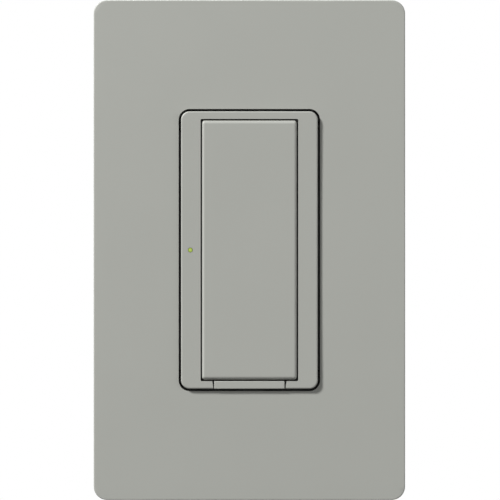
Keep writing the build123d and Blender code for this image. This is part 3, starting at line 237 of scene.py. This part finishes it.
def merged_copy(node, name):
    """A copy of a node's form, its loose triangles merged, left selected and active."""
    bpy.ops.object.select_all(action="DESELECT")
    piece = nodes[node].copy()
    piece.data = nodes[node].data.copy()
    piece.name = name
    scene.collection.objects.link(piece)
    bpy.context.view_layer.objects.active = piece
    piece.select_set(True)
    bpy.ops.object.mode_set(mode="EDIT")
    bpy.ops.mesh.select_all(action="SELECT")
    bpy.ops.mesh.remove_doubles(threshold=merge_distance)
    bpy.ops.object.mode_set(mode="OBJECT")
    bpy.ops.mesh.customdata_custom_splitnormals_clear()
    piece.data.materials.clear()
    return piece


def finish(piece, body, node, materials, smooth_below=40):
    """Smooth the shallow edges, keep flat faces flat, and put the piece in its node's place."""
    bpy.ops.object.shade_smooth_by_angle(angle=math.radians(smooth_below))
    weighted = piece.modifiers.new("flat_faces_first", "WEIGHTED_NORMAL")
    weighted.keep_sharp = True
    bpy.ops.object.modifier_apply(modifier=weighted.name)
    piece.select_set(False)
    for material in materials:
        piece.data.materials.append(material)
    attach(piece, body)
    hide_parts(node)


def smooth_moulding(node, body, material):
    """The node's own form, merged so that its curves are smooth."""
    piece = merged_copy(node, node + "_moulding")
    finish(piece, body, node, [material])


front_grey = (0.36, 0.366, 0.337)
plate_grey = moulded_plastic(
    "plate_grey", front_grey,
    grain_scale=9000, grain_height=0.35, roughness=0.48, unevenness=0.03,
)
smooth_moulding("wall_plate", "root", plate_grey)

# Frame in the plate's opening: the same plastic from another mould, its outer edge rounded.
# The narrow service tab at its foot is moulded with it and slides in it.
frame_grey = moulded_plastic(
    "frame_grey", front_grey,
    grain_scale=9400, grain_height=0.32, roughness=0.46, unevenness=0.03,
)
smooth_moulding("bezel", "root", frame_grey)
smooth_moulding("service_tab", "tab_body", frame_grey)

# Tap paddle: a large bare push surface, matt and finely grained. It is one shell with ribs,
# and its pins turn in the frame near its top.
paddle_grey = moulded_plastic(
    "paddle_grey", front_grey,
    grain_scale=9200, grain_height=0.35, roughness=0.5, unevenness=0.03,
)
smooth_moulding("paddle", "paddle_body", paddle_grey)

# Sub-plate: the flat moulding screwed to the yoke that the wall plate snaps onto. It is a
# shade darker and glossier than the plate, from a polished mould.
adapter_grey = moulded_plastic(
    "adapter_grey", (0.30, 0.305, 0.285),
    grain_scale=3000, grain_height=0.1, roughness=0.38, unevenness=0.04,
)
smooth_moulding("plate_adapter", "root", adapter_grey)

# Light pipe: a clear moulded rod behind the small hole in the frame's left rail. The green
# status light behind it makes its end glow.
light_low, light_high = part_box("light_pipe")
glow_green = (0.40, 0.52, 0.08)
glow_strength = 0.14
rim_glow_share = 0.55
lit_end, lit_tree, lit_shader = new_material("lit_clear_plastic")
lit_add = lit_tree.nodes.new
lit_link = lit_tree.links.new
lit_place = lit_add("ShaderNodeTexCoord")
lit_mapping = lit_add("ShaderNodeMapping")
lit_mapping.inputs["Location"].default_value = -(light_low + light_high) / 2
lit_core = lit_add("ShaderNodeVectorMath")
lit_core.operation = "MULTIPLY"
lit_core.inputs[1].default_value = (1, 0, 1)
lit_radius = lit_add("ShaderNodeVectorMath")
lit_radius.operation = "LENGTH"
lit_fall = lit_add("ShaderNodeMapRange")
lit_fall.inputs["From Max"].default_value = (light_high.x - light_low.x) / 2
lit_fall.inputs["To Min"].default_value = 1.0
lit_fall.inputs["To Max"].default_value = rim_glow_share
lit_tone = lit_add("ShaderNodeVectorMath")
lit_tone.operation = "SCALE"
lit_tone.inputs[0].default_value = glow_green
lit_link(lit_place.outputs["Object"], lit_mapping.inputs["Vector"])
lit_link(lit_mapping.outputs["Vector"], lit_core.inputs[0])
lit_link(lit_core.outputs[0], lit_radius.inputs[0])
lit_link(lit_radius.outputs["Value"], lit_fall.inputs["Value"])
lit_link(lit_fall.outputs[0], lit_tone.inputs["Scale"])
lit_link(lit_tone.outputs[0], lit_shader.inputs["Base Color"])
lit_link(lit_tone.outputs[0], lit_shader.inputs["Emission Color"])
lit_shader.inputs["Emission Strength"].default_value = glow_strength
lit_shader.inputs["Roughness"].default_value = 0.25
lit_shader.inputs["IOR"].default_value = 1.49
pipe = merged_copy("light_pipe", "light_pipe_rod")
finish(pipe, "root", "light_pipe", [lit_end])


# Yoke: the aluminium strap that everything hangs on, and the heat spreader round the case.
# It is stamped from brushed sheet, so fine lines run along it and its edges are rounded off.
# Painted shade darkens the metal's colour where other faces close it in, so no narrow gap shows
# it bright.
tarnish_scale = 140
tarnish_roughness = 0.2


def metal_finish_and_gap_shade():
    """Lines left by brushing or drawing, a faint cloudy tarnish, and painted shade in gaps."""
    group = surface_group(
        "metal_finish_and_gap_shade",
        (
            ("Metal", "NodeSocketColor", (0.7, 0.7, 0.7, 1)),
            ("Line Place", "NodeSocketVector", (0, 0, 0)),
            ("Roughness", "NodeSocketFloat", 0.35),
            ("Line Height", "NodeSocketFloat", 0.1),
            ("Tarnish", "NodeSocketFloat", 0.1),
            ("Painted Gap Shade Within", "NodeSocketFloat", 0.007),
        ),
    )
    add = group.nodes.new
    link = group.links.new
    given = add("NodeGroupInput").outputs
    result = add("NodeGroupOutput").inputs
    clouds = add("ShaderNodeTexNoise")
    clouds.inputs["Scale"].default_value = tarnish_scale
    clouds.inputs["Detail"].default_value = 4
    link(add("ShaderNodeTexCoord").outputs["Object"], clouds.inputs["Vector"])
    lines = add("ShaderNodeTexNoise")
    lines.inputs["Scale"].default_value = 1
    lines.inputs["Detail"].default_value = 4
    link(given["Line Place"], lines.inputs["Vector"])
    both = worked_out(group, "ADD", clouds.outputs["Fac"], lines.outputs["Fac"])
    centred = worked_out(group, "SUBTRACT", both, 1.0)
    tarnish = worked_out(group, "MULTIPLY_ADD", centred, given["Tarnish"], 1.0)
    tone = add("ShaderNodeVectorMath")
    tone.operation = "SCALE"
    link(given["Metal"], tone.inputs[0])
    link(tarnish, tone.inputs["Scale"])
    # Painted shade: the colour is darkened where other faces lie within this distance.
    painted_gap_shade = add("ShaderNodeAmbientOcclusion")
    link(tone.outputs[0], painted_gap_shade.inputs["Color"])
    link(given["Painted Gap Shade Within"], painted_gap_shade.inputs["Distance"])
    link(painted_gap_shade.outputs["Color"], result["Color"])
    rough = worked_out(group, "MULTIPLY_ADD", centred, tarnish_roughness, given["Roughness"])
    link(rough, result["Roughness"])
    relief = add("ShaderNodeBump")
    relief.inputs["Distance"].default_value = finest_relief
    link(given["Line Height"], relief.inputs["Strength"])
    link(lines.outputs["Fac"], relief.inputs["Height"])
    link(relief.outputs["Normal"], result["Normal"])
    return group


metal_group = metal_finish_and_gap_shade()


def finished_metal(name, metal, line_scale, roughness, line_height, tarnish):
    """A metal's material: its colour, the lines that its making left on it, and painted shade
    in gaps.
    """
    material, tree, shader = new_material(name)
    place = tree.nodes.new("ShaderNodeTexCoord")
    stretch = tree.nodes.new("ShaderNodeMapping")
    stretch.inputs["Scale"].default_value = line_scale
    lined = tree.nodes.new("ShaderNodeGroup")
    lined.node_tree = metal_group
    lined.inputs["Metal"].default_value = (*metal, 1)
    lined.inputs["Roughness"].default_value = roughness
    lined.inputs["Line Height"].default_value = line_height
    lined.inputs["Tarnish"].default_value = tarnish
    shader.inputs["Metallic"].default_value = 1.0
    tree.links.new(place.outputs["Object"], stretch.inputs["Vector"])
    tree.links.new(stretch.outputs["Vector"], lined.inputs["Line Place"])
    dress_shader(tree, lined, shader)
    return material


flat_within_deg = 0.5


def softened_copy(node, name, edge, sharp_above=30):
    """The node's form with its flat faces made whole and its sharp edges broken."""
    piece = merged_copy(node, name)
    bpy.ops.object.mode_set(mode="EDIT")
    bpy.ops.mesh.select_all(action="SELECT")
    bpy.ops.mesh.dissolve_limited(angle_limit=math.radians(flat_within_deg))
    bpy.ops.object.mode_set(mode="OBJECT")
    broken = piece.modifiers.new("broken_edges", "BEVEL")
    broken.width = edge
    broken.segments = 2
    broken.limit_method = "ANGLE"
    broken.angle_limit = math.radians(sharp_above)
    broken.harden_normals = False
    bpy.ops.object.modifier_apply(modifier=broken.name)
    return piece


strap_edge = 0.00012
brushed_aluminium = finished_metal(
    "brushed_aluminium", (0.72, 0.72, 0.71),
    line_scale=(3500, 3500, 140), roughness=0.34, line_height=0.35, tarnish=0.12,
)
strap = softened_copy("yoke", "yoke_strap", strap_edge)
finish(strap, "root", "yoke", [brushed_aluminium])


# Screws: turned and slotted, zinc plated, 32 threads to the inch. The two that hold the
# sub-plate are countersunk, the two for the wall box have pan heads and a neck.
thread_pitch = 0.0254 / 32
machine_r = 0.00175
thread_lead_in = 0.0005
thread_steps = 24
thread_smooth_deg = 30
groove_share = 0.53
groove_past_face = 0.0001


def cut_thread(screw, start, turn, length, outer_r, pitch):
    """Cut a V groove round and round the shank, from its start to past its tip."""
    groove_r = groove_share * pitch
    bpy.ops.object.select_all(action="DESELECT")
    bpy.ops.mesh.primitive_circle_add(
        vertices=3, radius=groove_r, rotation=(math.radians(90), math.radians(-90), 0)
    )
    bpy.ops.object.transform_apply(rotation=True)
    cutter = bpy.context.object
    bpy.ops.object.mode_set(mode="EDIT")
    bpy.ops.mesh.select_all(action="SELECT")
    bpy.ops.transform.translate(value=(outer_r + groove_past_face - groove_r / 2, 0, 0))
    bpy.ops.object.mode_set(mode="OBJECT")
    winding = cutter.modifiers.new("winding", "SCREW")
    winding.screw_offset = pitch
    winding.iterations = math.ceil(length / pitch) + 1
    winding.steps = winding.render_steps = thread_steps
    winding.use_merge_vertices = False
    bpy.ops.object.modifier_apply(modifier=winding.name)
    bpy.ops.object.mode_set(mode="EDIT")
    bpy.ops.mesh.select_all(action="SELECT")
    bpy.ops.mesh.fill_holes(sides=3)
    bpy.ops.mesh.normals_make_consistent(inside=False)
    bpy.ops.object.mode_set(mode="OBJECT")
    cutter.location = start
    cutter.rotation_euler = turn
    bpy.context.view_layer.update()
    cutter.select_set(False)
    bpy.context.view_layer.objects.active = screw
    screw.select_set(True)
    cutting = screw.modifiers.new("thread", "BOOLEAN")
    cutting.operation = "DIFFERENCE"
    cutting.solver = "EXACT"
    cutting.object = cutter
    bpy.ops.object.modifier_apply(modifier=cutting.name)
    bpy.data.objects.remove(cutter)
    bpy.ops.object.mode_set(mode="EDIT")
    bpy.ops.mesh.select_all(action="SELECT")
    bpy.ops.mesh.dissolve_degenerate(threshold=merge_distance)
    bpy.ops.object.mode_set(mode="OBJECT")


zinc_plate = finished_metal(
    "zinc_plate", (0.62, 0.60, 0.55),
    line_scale=(900, 2600, 900), roughness=0.28, line_height=0.2, tarnish=0.15,
)
countersunk_head = 0.00115
pan_head_and_neck = 0.0043
into_the_wall = (math.radians(-90), 0, 0)
broken_edge = 0.00008
for node, head_depth in (
    ("adapter_screw_upper", countersunk_head),
    ("adapter_screw_lower", countersunk_head),
    ("box_screw_upper", pan_head_and_neck),
    ("box_screw_lower", pan_head_and_neck),
):
    low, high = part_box(node)
    middle = (low + high) / 2
    screw = softened_copy(node, node + "_threaded", broken_edge)
    thread_start = low.y + head_depth + thread_lead_in
    cut_thread(
        screw,
        (middle.x, thread_start, middle.z),
        into_the_wall,
        high.y - thread_start,
        machine_r,
        thread_pitch,
    )
    finish(screw, "root", node, [zinc_plate], thread_smooth_deg)

# Grounding screw: the same thread, its head dyed green, driven through the yoke's bent tab
# from the left.
ground_low, ground_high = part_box("ground_screw")
ground_middle = (ground_low + ground_high) / 2
ground_head_height = 0.0021
green_plate = finished_metal(
    "green_plate", (0.04, 0.30, 0.10),
    line_scale=(2600, 900, 900), roughness=0.3, line_height=0.2, tarnish=0.2,
)
ground_screw = softened_copy("ground_screw", "ground_screw_threaded", broken_edge)
ground_start = ground_low.x + ground_head_height + thread_lead_in
cut_thread(
    ground_screw,
    (ground_start, ground_middle.y, ground_middle.z),
    (0, math.radians(90), 0),
    ground_high.x - ground_start,
    machine_r,
    thread_pitch,
)
finish(ground_screw, "root", "ground_screw", [green_plate], thread_smooth_deg)

# Case screws: four pan-head screws driven from behind into the yoke, deep in the case's
# bosses. Their heads show at the bottom of the counterbores.
case_low, case_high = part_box("housing_screws")
case_screw_r = 0.0012
case_head_r = 0.0022
case_head_height = 0.0016
case_pitch = 0.0007
case_screws = softened_copy("housing_screws", "housing_screws_threaded", broken_edge)
case_start = case_high.y - case_head_height - thread_lead_in
for across in (case_low.x + case_head_r, case_high.x - case_head_r):
    for up in (case_low.z + case_head_r, case_high.z - case_head_r):
        cut_thread(
            case_screws,
            (across, case_start, up),
            (math.radians(90), 0, 0),
            case_start - case_low.y,
            case_screw_r,
            case_pitch,
        )
finish(case_screws, "root", "housing_screws", [zinc_plate], thread_smooth_deg)

# Washers: pressed fibre rings, pushed over the box screws' threads so that they stay on.
# Short fibres show in their cut faces.
washer_edge = 0.00006
strand_scale = (900, 4000, 2600)
strand_relief = 0.00004
fibre, fibre_tree, fibre_shader = new_material("pressed_fibre")
fibre_add = fibre_tree.nodes.new
fibre_link = fibre_tree.links.new
fibre_place = fibre_add("ShaderNodeTexCoord")
fibre_stretch = fibre_add("ShaderNodeMapping")
fibre_stretch.inputs["Scale"].default_value = strand_scale
fibre_strands = fibre_add("ShaderNodeTexNoise")
fibre_strands.inputs["Scale"].default_value = 1
fibre_strands.inputs["Detail"].default_value = 5
fibre_tone = fibre_add("ShaderNodeValToRGB")
fibre_tone.color_ramp.elements[0].position = 0.3
fibre_tone.color_ramp.elements[0].color = (0.30, 0.20, 0.11, 1)
fibre_tone.color_ramp.elements[1].position = 0.7
fibre_tone.color_ramp.elements[1].color = (0.66, 0.52, 0.34, 1)
fibre_relief = fibre_add("ShaderNodeBump")
fibre_relief.inputs["Distance"].default_value = strand_relief
fibre_relief.inputs["Strength"].default_value = 0.5
fibre_shader.inputs["Roughness"].default_value = 0.85
fibre_link(fibre_place.outputs["Object"], fibre_stretch.inputs["Vector"])
fibre_link(fibre_stretch.outputs["Vector"], fibre_strands.inputs["Vector"])
fibre_link(fibre_strands.outputs["Fac"], fibre_tone.inputs["Fac"])
fibre_link(fibre_tone.outputs["Color"], fibre_shader.inputs["Base Color"])
fibre_link(fibre_strands.outputs["Fac"], fibre_relief.inputs["Height"])
fibre_link(fibre_relief.outputs["Normal"], fibre_shader.inputs["Normal"])
for node in ("screw_washer_upper", "screw_washer_lower"):
    washer = softened_copy(node, node + "_ring", washer_edge)
    finish(washer, "root", node, [fibre])

# Rear case: a black moulded box behind the yoke, coarser grained than the front, with ribs,
# screw bosses and terminal pockets.
case_black = moulded_plastic(
    "case_black", (0.030, 0.031, 0.033),
    grain_scale=4800, grain_height=1.0, roughness=0.55, unevenness=0.25,
)
smooth_moulding("rear_housing", "root", case_black)


# Insulating sheet: thin translucent film between the yoke and the control board, die cut
# and flat, with a fine matt side.
def dressed(node, *materials):
    """Give a node that keeps its own form its materials, the first one all over."""
    mesh = nodes[node].data
    mesh.materials.clear()
    for material in materials:
        mesh.materials.append(material)


tolerance = 1e-5


def faces_where(piece, chosen, number):
    """Give the faces whose middle the test picks the material of that number."""
    for face in piece.data.polygons:
        if chosen(face.center):
            face.material_index = number


clear_film = moulded_plastic(
    "clear_film", (0.70, 0.68, 0.60),
    grain_scale=6000, grain_height=0.1, roughness=0.3, unevenness=0.05,
)
film_shader = clear_film.node_tree.nodes["Principled BSDF"]
film_shader.inputs["Transmission Weight"].default_value = 0.6
dressed("insulator_sheet", clear_film)

# Circuit boards: glass-epoxy under green solder mask. Copper traces show through the mask as
# paler lines, and tinned pads lie on a 2.54 mm grid.
trace_spacing = 0.0013
trace_length = 6 * trace_spacing
trace_width = 0.00018
trace_patch_scale = 130
pad_grid = 0.00254
pad_share = 0.16
pad_r_share = 0.32
board_relief_depth = 0.00004
board, board_tree, board_shader = new_material("green_board")
board_add = board_tree.nodes.new
board_link = board_tree.links.new
board_place = board_add("ShaderNodeTexCoord")
board_flat = board_add("ShaderNodeMapping")
board_flat.inputs["Rotation"].default_value = (math.radians(90), 0, 0)
board_link(board_place.outputs["Object"], board_flat.inputs["Vector"])
traces = board_add("ShaderNodeTexBrick")
traces.inputs["Scale"].default_value = 1
traces.inputs["Color1"].default_value = (0, 0, 0, 1)
traces.inputs["Color2"].default_value = (0, 0, 0, 1)
traces.inputs["Mortar"].default_value = (1, 1, 1, 1)
traces.inputs["Mortar Size"].default_value = trace_width
traces.inputs["Mortar Smooth"].default_value = 0.2
traces.inputs["Brick Width"].default_value = trace_length
traces.inputs["Row Height"].default_value = trace_spacing
board_link(board_flat.outputs["Vector"], traces.inputs["Vector"])
trace_parts = board_add("ShaderNodeTexNoise")
trace_parts.inputs["Scale"].default_value = trace_patch_scale
board_link(board_flat.outputs["Vector"], trace_parts.inputs["Vector"])
trace_there = worked_out(board_tree, "GREATER_THAN", trace_parts.outputs["Fac"], 0.5)
trace_mask = worked_out(board_tree, "MULTIPLY", traces.outputs["Color"], trace_there)
pads = board_add("ShaderNodeTexVoronoi")
pads.voronoi_dimensions = "2D"
pads.inputs["Scale"].default_value = 1 / pad_grid
pads.inputs["Randomness"].default_value = 0
board_link(board_flat.outputs["Vector"], pads.inputs["Vector"])
pad_picked = board_add("ShaderNodeTexWhiteNoise")
pad_picked.noise_dimensions = "2D"
board_link(pads.outputs["Position"], pad_picked.inputs["Vector"])
pad_round = worked_out(board_tree, "LESS_THAN", pads.outputs["Distance"], pad_r_share)
pad_there = worked_out(board_tree, "LESS_THAN", pad_picked.outputs["Value"], pad_share)
pad_mask = worked_out(board_tree, "MULTIPLY", pad_round, pad_there)
mask_tone = board_add("ShaderNodeMix")
mask_tone.data_type = "RGBA"
mask_tone.inputs["A"].default_value = (0.012, 0.11, 0.045, 1)
mask_tone.inputs["B"].default_value = (0.035, 0.21, 0.08, 1)
board_link(trace_mask, mask_tone.inputs["Factor"])
board_tone = board_add("ShaderNodeMix")
board_tone.data_type = "RGBA"
board_tone.inputs["B"].default_value = (0.66, 0.65, 0.62, 1)
board_link(pad_mask, board_tone.inputs["Factor"])
board_link(mask_tone.outputs["Result"], board_tone.inputs["A"])
board_link(board_tone.outputs["Result"], board_shader.inputs["Base Color"])
board_link(pad_mask, board_shader.inputs["Metallic"])
raised = worked_out(board_tree, "MAXIMUM", trace_mask, pad_mask)
board_relief = board_add("ShaderNodeBump")
board_relief.inputs["Distance"].default_value = board_relief_depth
board_relief.inputs["Strength"].default_value = 0.4
board_link(raised, board_relief.inputs["Height"])
board_link(board_relief.outputs["Normal"], board_shader.inputs["Normal"])
board_shader.inputs["Roughness"].default_value = 0.28
dressed("control_board", board)
dressed("power_board", board)

# Tactile switch: a black body under a steel cover, with four leads, and a pale plunger that
# the paddle's post pushes.
tinned = finished_metal(
    "tinned", (0.66, 0.66, 0.64),
    line_scale=(1200, 1200, 1200), roughness=0.3, line_height=0.15, tarnish=0.1,
)
epoxy_black = moulded_plastic(
    "epoxy_black", (0.02, 0.02, 0.022),
    grain_scale=5200, grain_height=0.35, roughness=0.5, unevenness=0.2,
)
plunger_white = moulded_plastic(
    "plunger_white", (0.75, 0.74, 0.70),
    grain_scale=3000, grain_height=0.05, roughness=0.35, unevenness=0.03,
)
tact_low, tact_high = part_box("tact_switch_body")
cover_depth = 0.0012
lead_thickness = 0.00025
dressed("tact_switch_body", epoxy_black, tinned)
tact_switch = nodes["tact_switch_body"]
faces_where(tact_switch, lambda m: m.y < tact_low.y + cover_depth, 1)
faces_where(tact_switch, lambda m: m.y > tact_high.y - lead_thickness - tolerance, 1)
dressed("tact_switch_plunger", plunger_white)

# Status light: a clear lens on a white base, soldered to the control board and lit
# yellow-green.
led_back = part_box("status_led")[1].y
led_base = 0.00048
led_white = moulded_plastic(
    "led_white", (0.80, 0.80, 0.78),
    grain_scale=3000, grain_height=0.05, roughness=0.4, unevenness=0.03,
)
dressed("status_led", lit_end, led_white)
faces_where(nodes["status_led"], lambda m: m.y > led_back - led_base - tolerance, 1)

# Microcontroller: a flat package moulded in black epoxy, with tinned gull-wing leads on its
# four sides that are soldered to the control board.
chip_low, chip_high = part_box("microcontroller")
chip_middle = (chip_low + chip_high) / 2
chip_half = 0.0035
dressed("microcontroller", epoxy_black, tinned)
faces_where(
    nodes["microcontroller"],
    lambda m: max(abs(m.x - chip_middle.x), abs(m.z - chip_middle.z)) > chip_half + tolerance,
    1,
)

# Radio module: a drawn and tinned can on a small green board. The antenna is a bent strip
# of the same tinned sheet on the frame's floor.
radio_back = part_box("radio_module")[1].y
radio_board = 0.0006
dressed("radio_module", tinned, board)
faces_where(nodes["radio_module"], lambda m: m.y > radio_back - radio_board - tolerance, 1)
dressed("antenna", tinned)

# Header: gold-plated pins through a black moulded strip, from the power board up to the
# control board.
header_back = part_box("board_header")[1].y
header_strip = 0.0025
pin_gold = finished_metal(
    "pin_gold", (0.83, 0.62, 0.24),
    line_scale=(3000, 500, 3000), roughness=0.25, line_height=0.1, tarnish=0.08,
)
dressed("board_header", pin_gold, epoxy_black)
faces_where(nodes["board_header"], lambda m: m.y > header_back - header_strip - tolerance, 1)

# Relay: a sealed blue moulded lid. Film capacitor: a potted yellow box. Varistor: a disc
# dipped in blue epoxy. Fuse and rectifier: black mouldings.
lid_edge = 0.0001
box_edge = 0.00012
relay_blue = moulded_plastic(
    "relay_blue", (0.015, 0.06, 0.22),
    grain_scale=3800, grain_height=0.15, roughness=0.35, unevenness=0.1,
)
film_yellow = moulded_plastic(
    "film_yellow", (0.62, 0.45, 0.05),
    grain_scale=3000, grain_height=0.08, roughness=0.25, unevenness=0.06,
)
dipped_blue = moulded_plastic(
    "dipped_blue", (0.02, 0.12, 0.35),
    grain_scale=500, grain_height=0.8, roughness=0.3, unevenness=0.15,
)
lid = softened_copy("relay", "relay_lid", lid_edge)
finish(lid, "root", "relay", [relay_blue])
potted_box = softened_copy("film_capacitor", "film_capacitor_box", box_edge)
finish(potted_box, "root", "film_capacitor", [film_yellow])
varistor_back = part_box("varistor")[1].y
varistor_bare_leg = 0.00096
dressed("varistor", dipped_blue, tinned)
faces_where(nodes["varistor"], lambda m: m.y > varistor_back - varistor_bare_leg, 1)
fuse_box = softened_copy("fuse", "fuse_box", box_edge)
finish(fuse_box, "root", "fuse", [epoxy_black])
bridge_low, bridge_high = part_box("rectifier")
bridge_middle = (bridge_low + bridge_high) / 2
bridge_half = 0.002
dressed("rectifier", epoxy_black, tinned)
faces_where(
    nodes["rectifier"], lambda m: abs(m.x - bridge_middle.x) > bridge_half + tolerance, 1
)

# Electrolytic capacitor: an aluminium can in a dark shrunk sleeve, crimped above its bung,
# its scored top left bare.
can_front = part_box("filter_capacitor")[0].y
sleeve = moulded_plastic(
    "can_sleeve_dark", (0.02, 0.02, 0.05),
    grain_scale=900, grain_height=0.1, roughness=0.3, unevenness=0.1,
)
can_top = finished_metal(
    "can_top", (0.74, 0.74, 0.74),
    line_scale=(900, 900, 900), roughness=0.3, line_height=0.1, tarnish=0.06,
)
can = merged_copy("filter_capacitor", "filter_capacitor_can")
faces_where(can, lambda m: m.y < can_front + tolerance, 1)
finish(can, "root", "filter_capacitor", [sleeve, can_top])

# Choke and transformer: dark ground ferrite. The choke's drum is wound with enamelled copper
# wire, the transformer's bobbin is wrapped in yellow tape.
ferrite = moulded_plastic(
    "ground_ferrite", (0.06, 0.055, 0.055),
    grain_scale=2600, grain_height=0.3, roughness=0.55, unevenness=0.3,
)
wire_pitch = 0.00045
copper_wire, copper_tree, copper_shader = new_material("enamelled_wire")
copper_add = copper_tree.nodes.new
copper_link = copper_tree.links.new
copper_place = copper_add("ShaderNodeTexCoord")
copper_turns = copper_add("ShaderNodeTexWave")
copper_turns.bands_direction = "Y"
copper_turns.inputs["Scale"].default_value = math.pi / (10 * wire_pitch)
copper_turns.inputs["Distortion"].default_value = 0.3
copper_turns.inputs["Detail Scale"].default_value = 400
# The wire's colour is darker in the grooves between its turns, which is painted shade.
copper_groove_shade = copper_add("ShaderNodeValToRGB")
copper_groove_shade.color_ramp.elements[0].color = (0.16, 0.05, 0.02, 1)
copper_groove_shade.color_ramp.elements[1].color = (0.62, 0.26, 0.10, 1)
copper_relief = copper_add("ShaderNodeBump")
copper_relief.inputs["Distance"].default_value = wire_pitch / 3
copper_relief.inputs["Strength"].default_value = 0.8
copper_shader.inputs["Metallic"].default_value = 0.8
copper_shader.inputs["Roughness"].default_value = 0.3
copper_link(copper_place.outputs["Object"], copper_turns.inputs["Vector"])
copper_link(copper_turns.outputs["Fac"], copper_groove_shade.inputs["Fac"])
copper_link(copper_turns.outputs["Fac"], copper_relief.inputs["Height"])
copper_link(copper_groove_shade.outputs["Color"], copper_shader.inputs["Base Color"])
copper_link(copper_relief.outputs["Normal"], copper_shader.inputs["Normal"])
choke_low, choke_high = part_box("inductor")
choke_flange = 0.0012
choke = merged_copy("inductor", "inductor_drum")
wire_front = choke_low.y + choke_flange
wire_back = choke_high.y - choke_flange
faces_where(choke, lambda m: wire_front + tolerance < m.y < wire_back - tolerance, 1)
finish(choke, "root", "inductor", [ferrite, copper_wire])
winding_tape = moulded_plastic(
    "winding_tape", (0.70, 0.52, 0.08),
    grain_scale=1500, grain_height=0.2, roughness=0.35, unevenness=0.06,
)
core_low, core_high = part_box("transformer")
core_middle = (core_low + core_high) / 2
core_half_breadth = 0.0024
bobbin_base = 0.002
bobbin_flange = 0.0021
tape_half_width = 0.0036
core = merged_copy("transformer", "transformer_core")


def off_core(m):
    """Whether a place is past the ferrite core, on the bobbin or its tape."""
    return abs(m.z - core_middle.z) > core_half_breadth + tolerance


faces_where(core, off_core, 1)
faces_where(core, lambda m: off_core(m) and m.y >= core_high.y - bobbin_base, 2)
faces_where(
    core,
    lambda m: off_core(m)
    and m.y < core_low.y + bobbin_flange
    and abs(m.x - core_middle.x) > tape_half_width,
    2,
)
finish(core, "root", "transformer", [ferrite, winding_tape, epoxy_black])

# Terminals: bent brass plates in the case's side pockets, each with a lug on the power board.
# The two live screws are brass coloured and the neutral one is bright. The isolating leaf's
# bracket is bent from the same brass.
plate_edge = 0.0001
strip_edge = 0.00008
brass = finished_metal(
    "plain_brass", (0.66, 0.48, 0.20),
    line_scale=(900, 2800, 900), roughness=0.3, line_height=0.25, tarnish=0.2,
)
for node in ("terminal_line", "terminal_load", "terminal_neutral"):
    plate = softened_copy(node, node + "_plate", plate_edge)
    finish(plate, "root", node, [brass])
post = softened_copy("leaf_bracket", "leaf_bracket_strip", strip_edge)
finish(post, "root", "leaf_bracket", [brass])
screws_low, screws_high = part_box("terminal_screws")
terminal_head = 0.0021
terminal_head_r = 0.0039
terminal_length = 0.0044
terminal_across = screws_high.x - terminal_head
terminal_up = screws_high.z - terminal_head_r
terminal_depth = (screws_low.y + screws_high.y) / 2
terminal_screws = softened_copy("terminal_screws", "terminal_screws_threaded", broken_edge)
for side, up in ((1, 1), (1, -1), (-1, 1)):
    cut_thread(
        terminal_screws,
        (side * (terminal_across - thread_lead_in), terminal_depth, up * terminal_up),
        (0, math.radians(-90 * side), 0),
        terminal_length - thread_lead_in,
        machine_r,
        thread_pitch,
    )
faces_where(terminal_screws, lambda m: m.x >= 0, 1)
terminal_metals = [zinc_plate, brass]
finish(
    terminal_screws, "root", "terminal_screws", terminal_metals,
    thread_smooth_deg,
)

# Isolating leaf and its fixed contact: springy bronze strip with riveted silver contacts,
# bright where they meet.
bronze = finished_metal(
    "bronze_strip", (0.62, 0.40, 0.24),
    line_scale=(400, 2800, 2800), roughness=0.3, line_height=0.25, tarnish=0.2,
)
silver = finished_metal(
    "contact_silver", (0.82, 0.81, 0.78),
    line_scale=(900, 900, 900), roughness=0.3, line_height=0.1, tarnish=0.2,
)
leaf_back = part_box("airgap_leaf")[1].y
fixed_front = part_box("airgap_contact")[0].y
contact_thickness = 0.0008
dressed("airgap_leaf", bronze, silver)
faces_where(
    nodes["airgap_leaf"], lambda m: m.y > leaf_back - contact_thickness + tolerance, 1
)
dressed("airgap_contact", bronze, silver)
faces_where(
    nodes["airgap_contact"], lambda m: m.y < fixed_front + contact_thickness - tolerance, 1
)
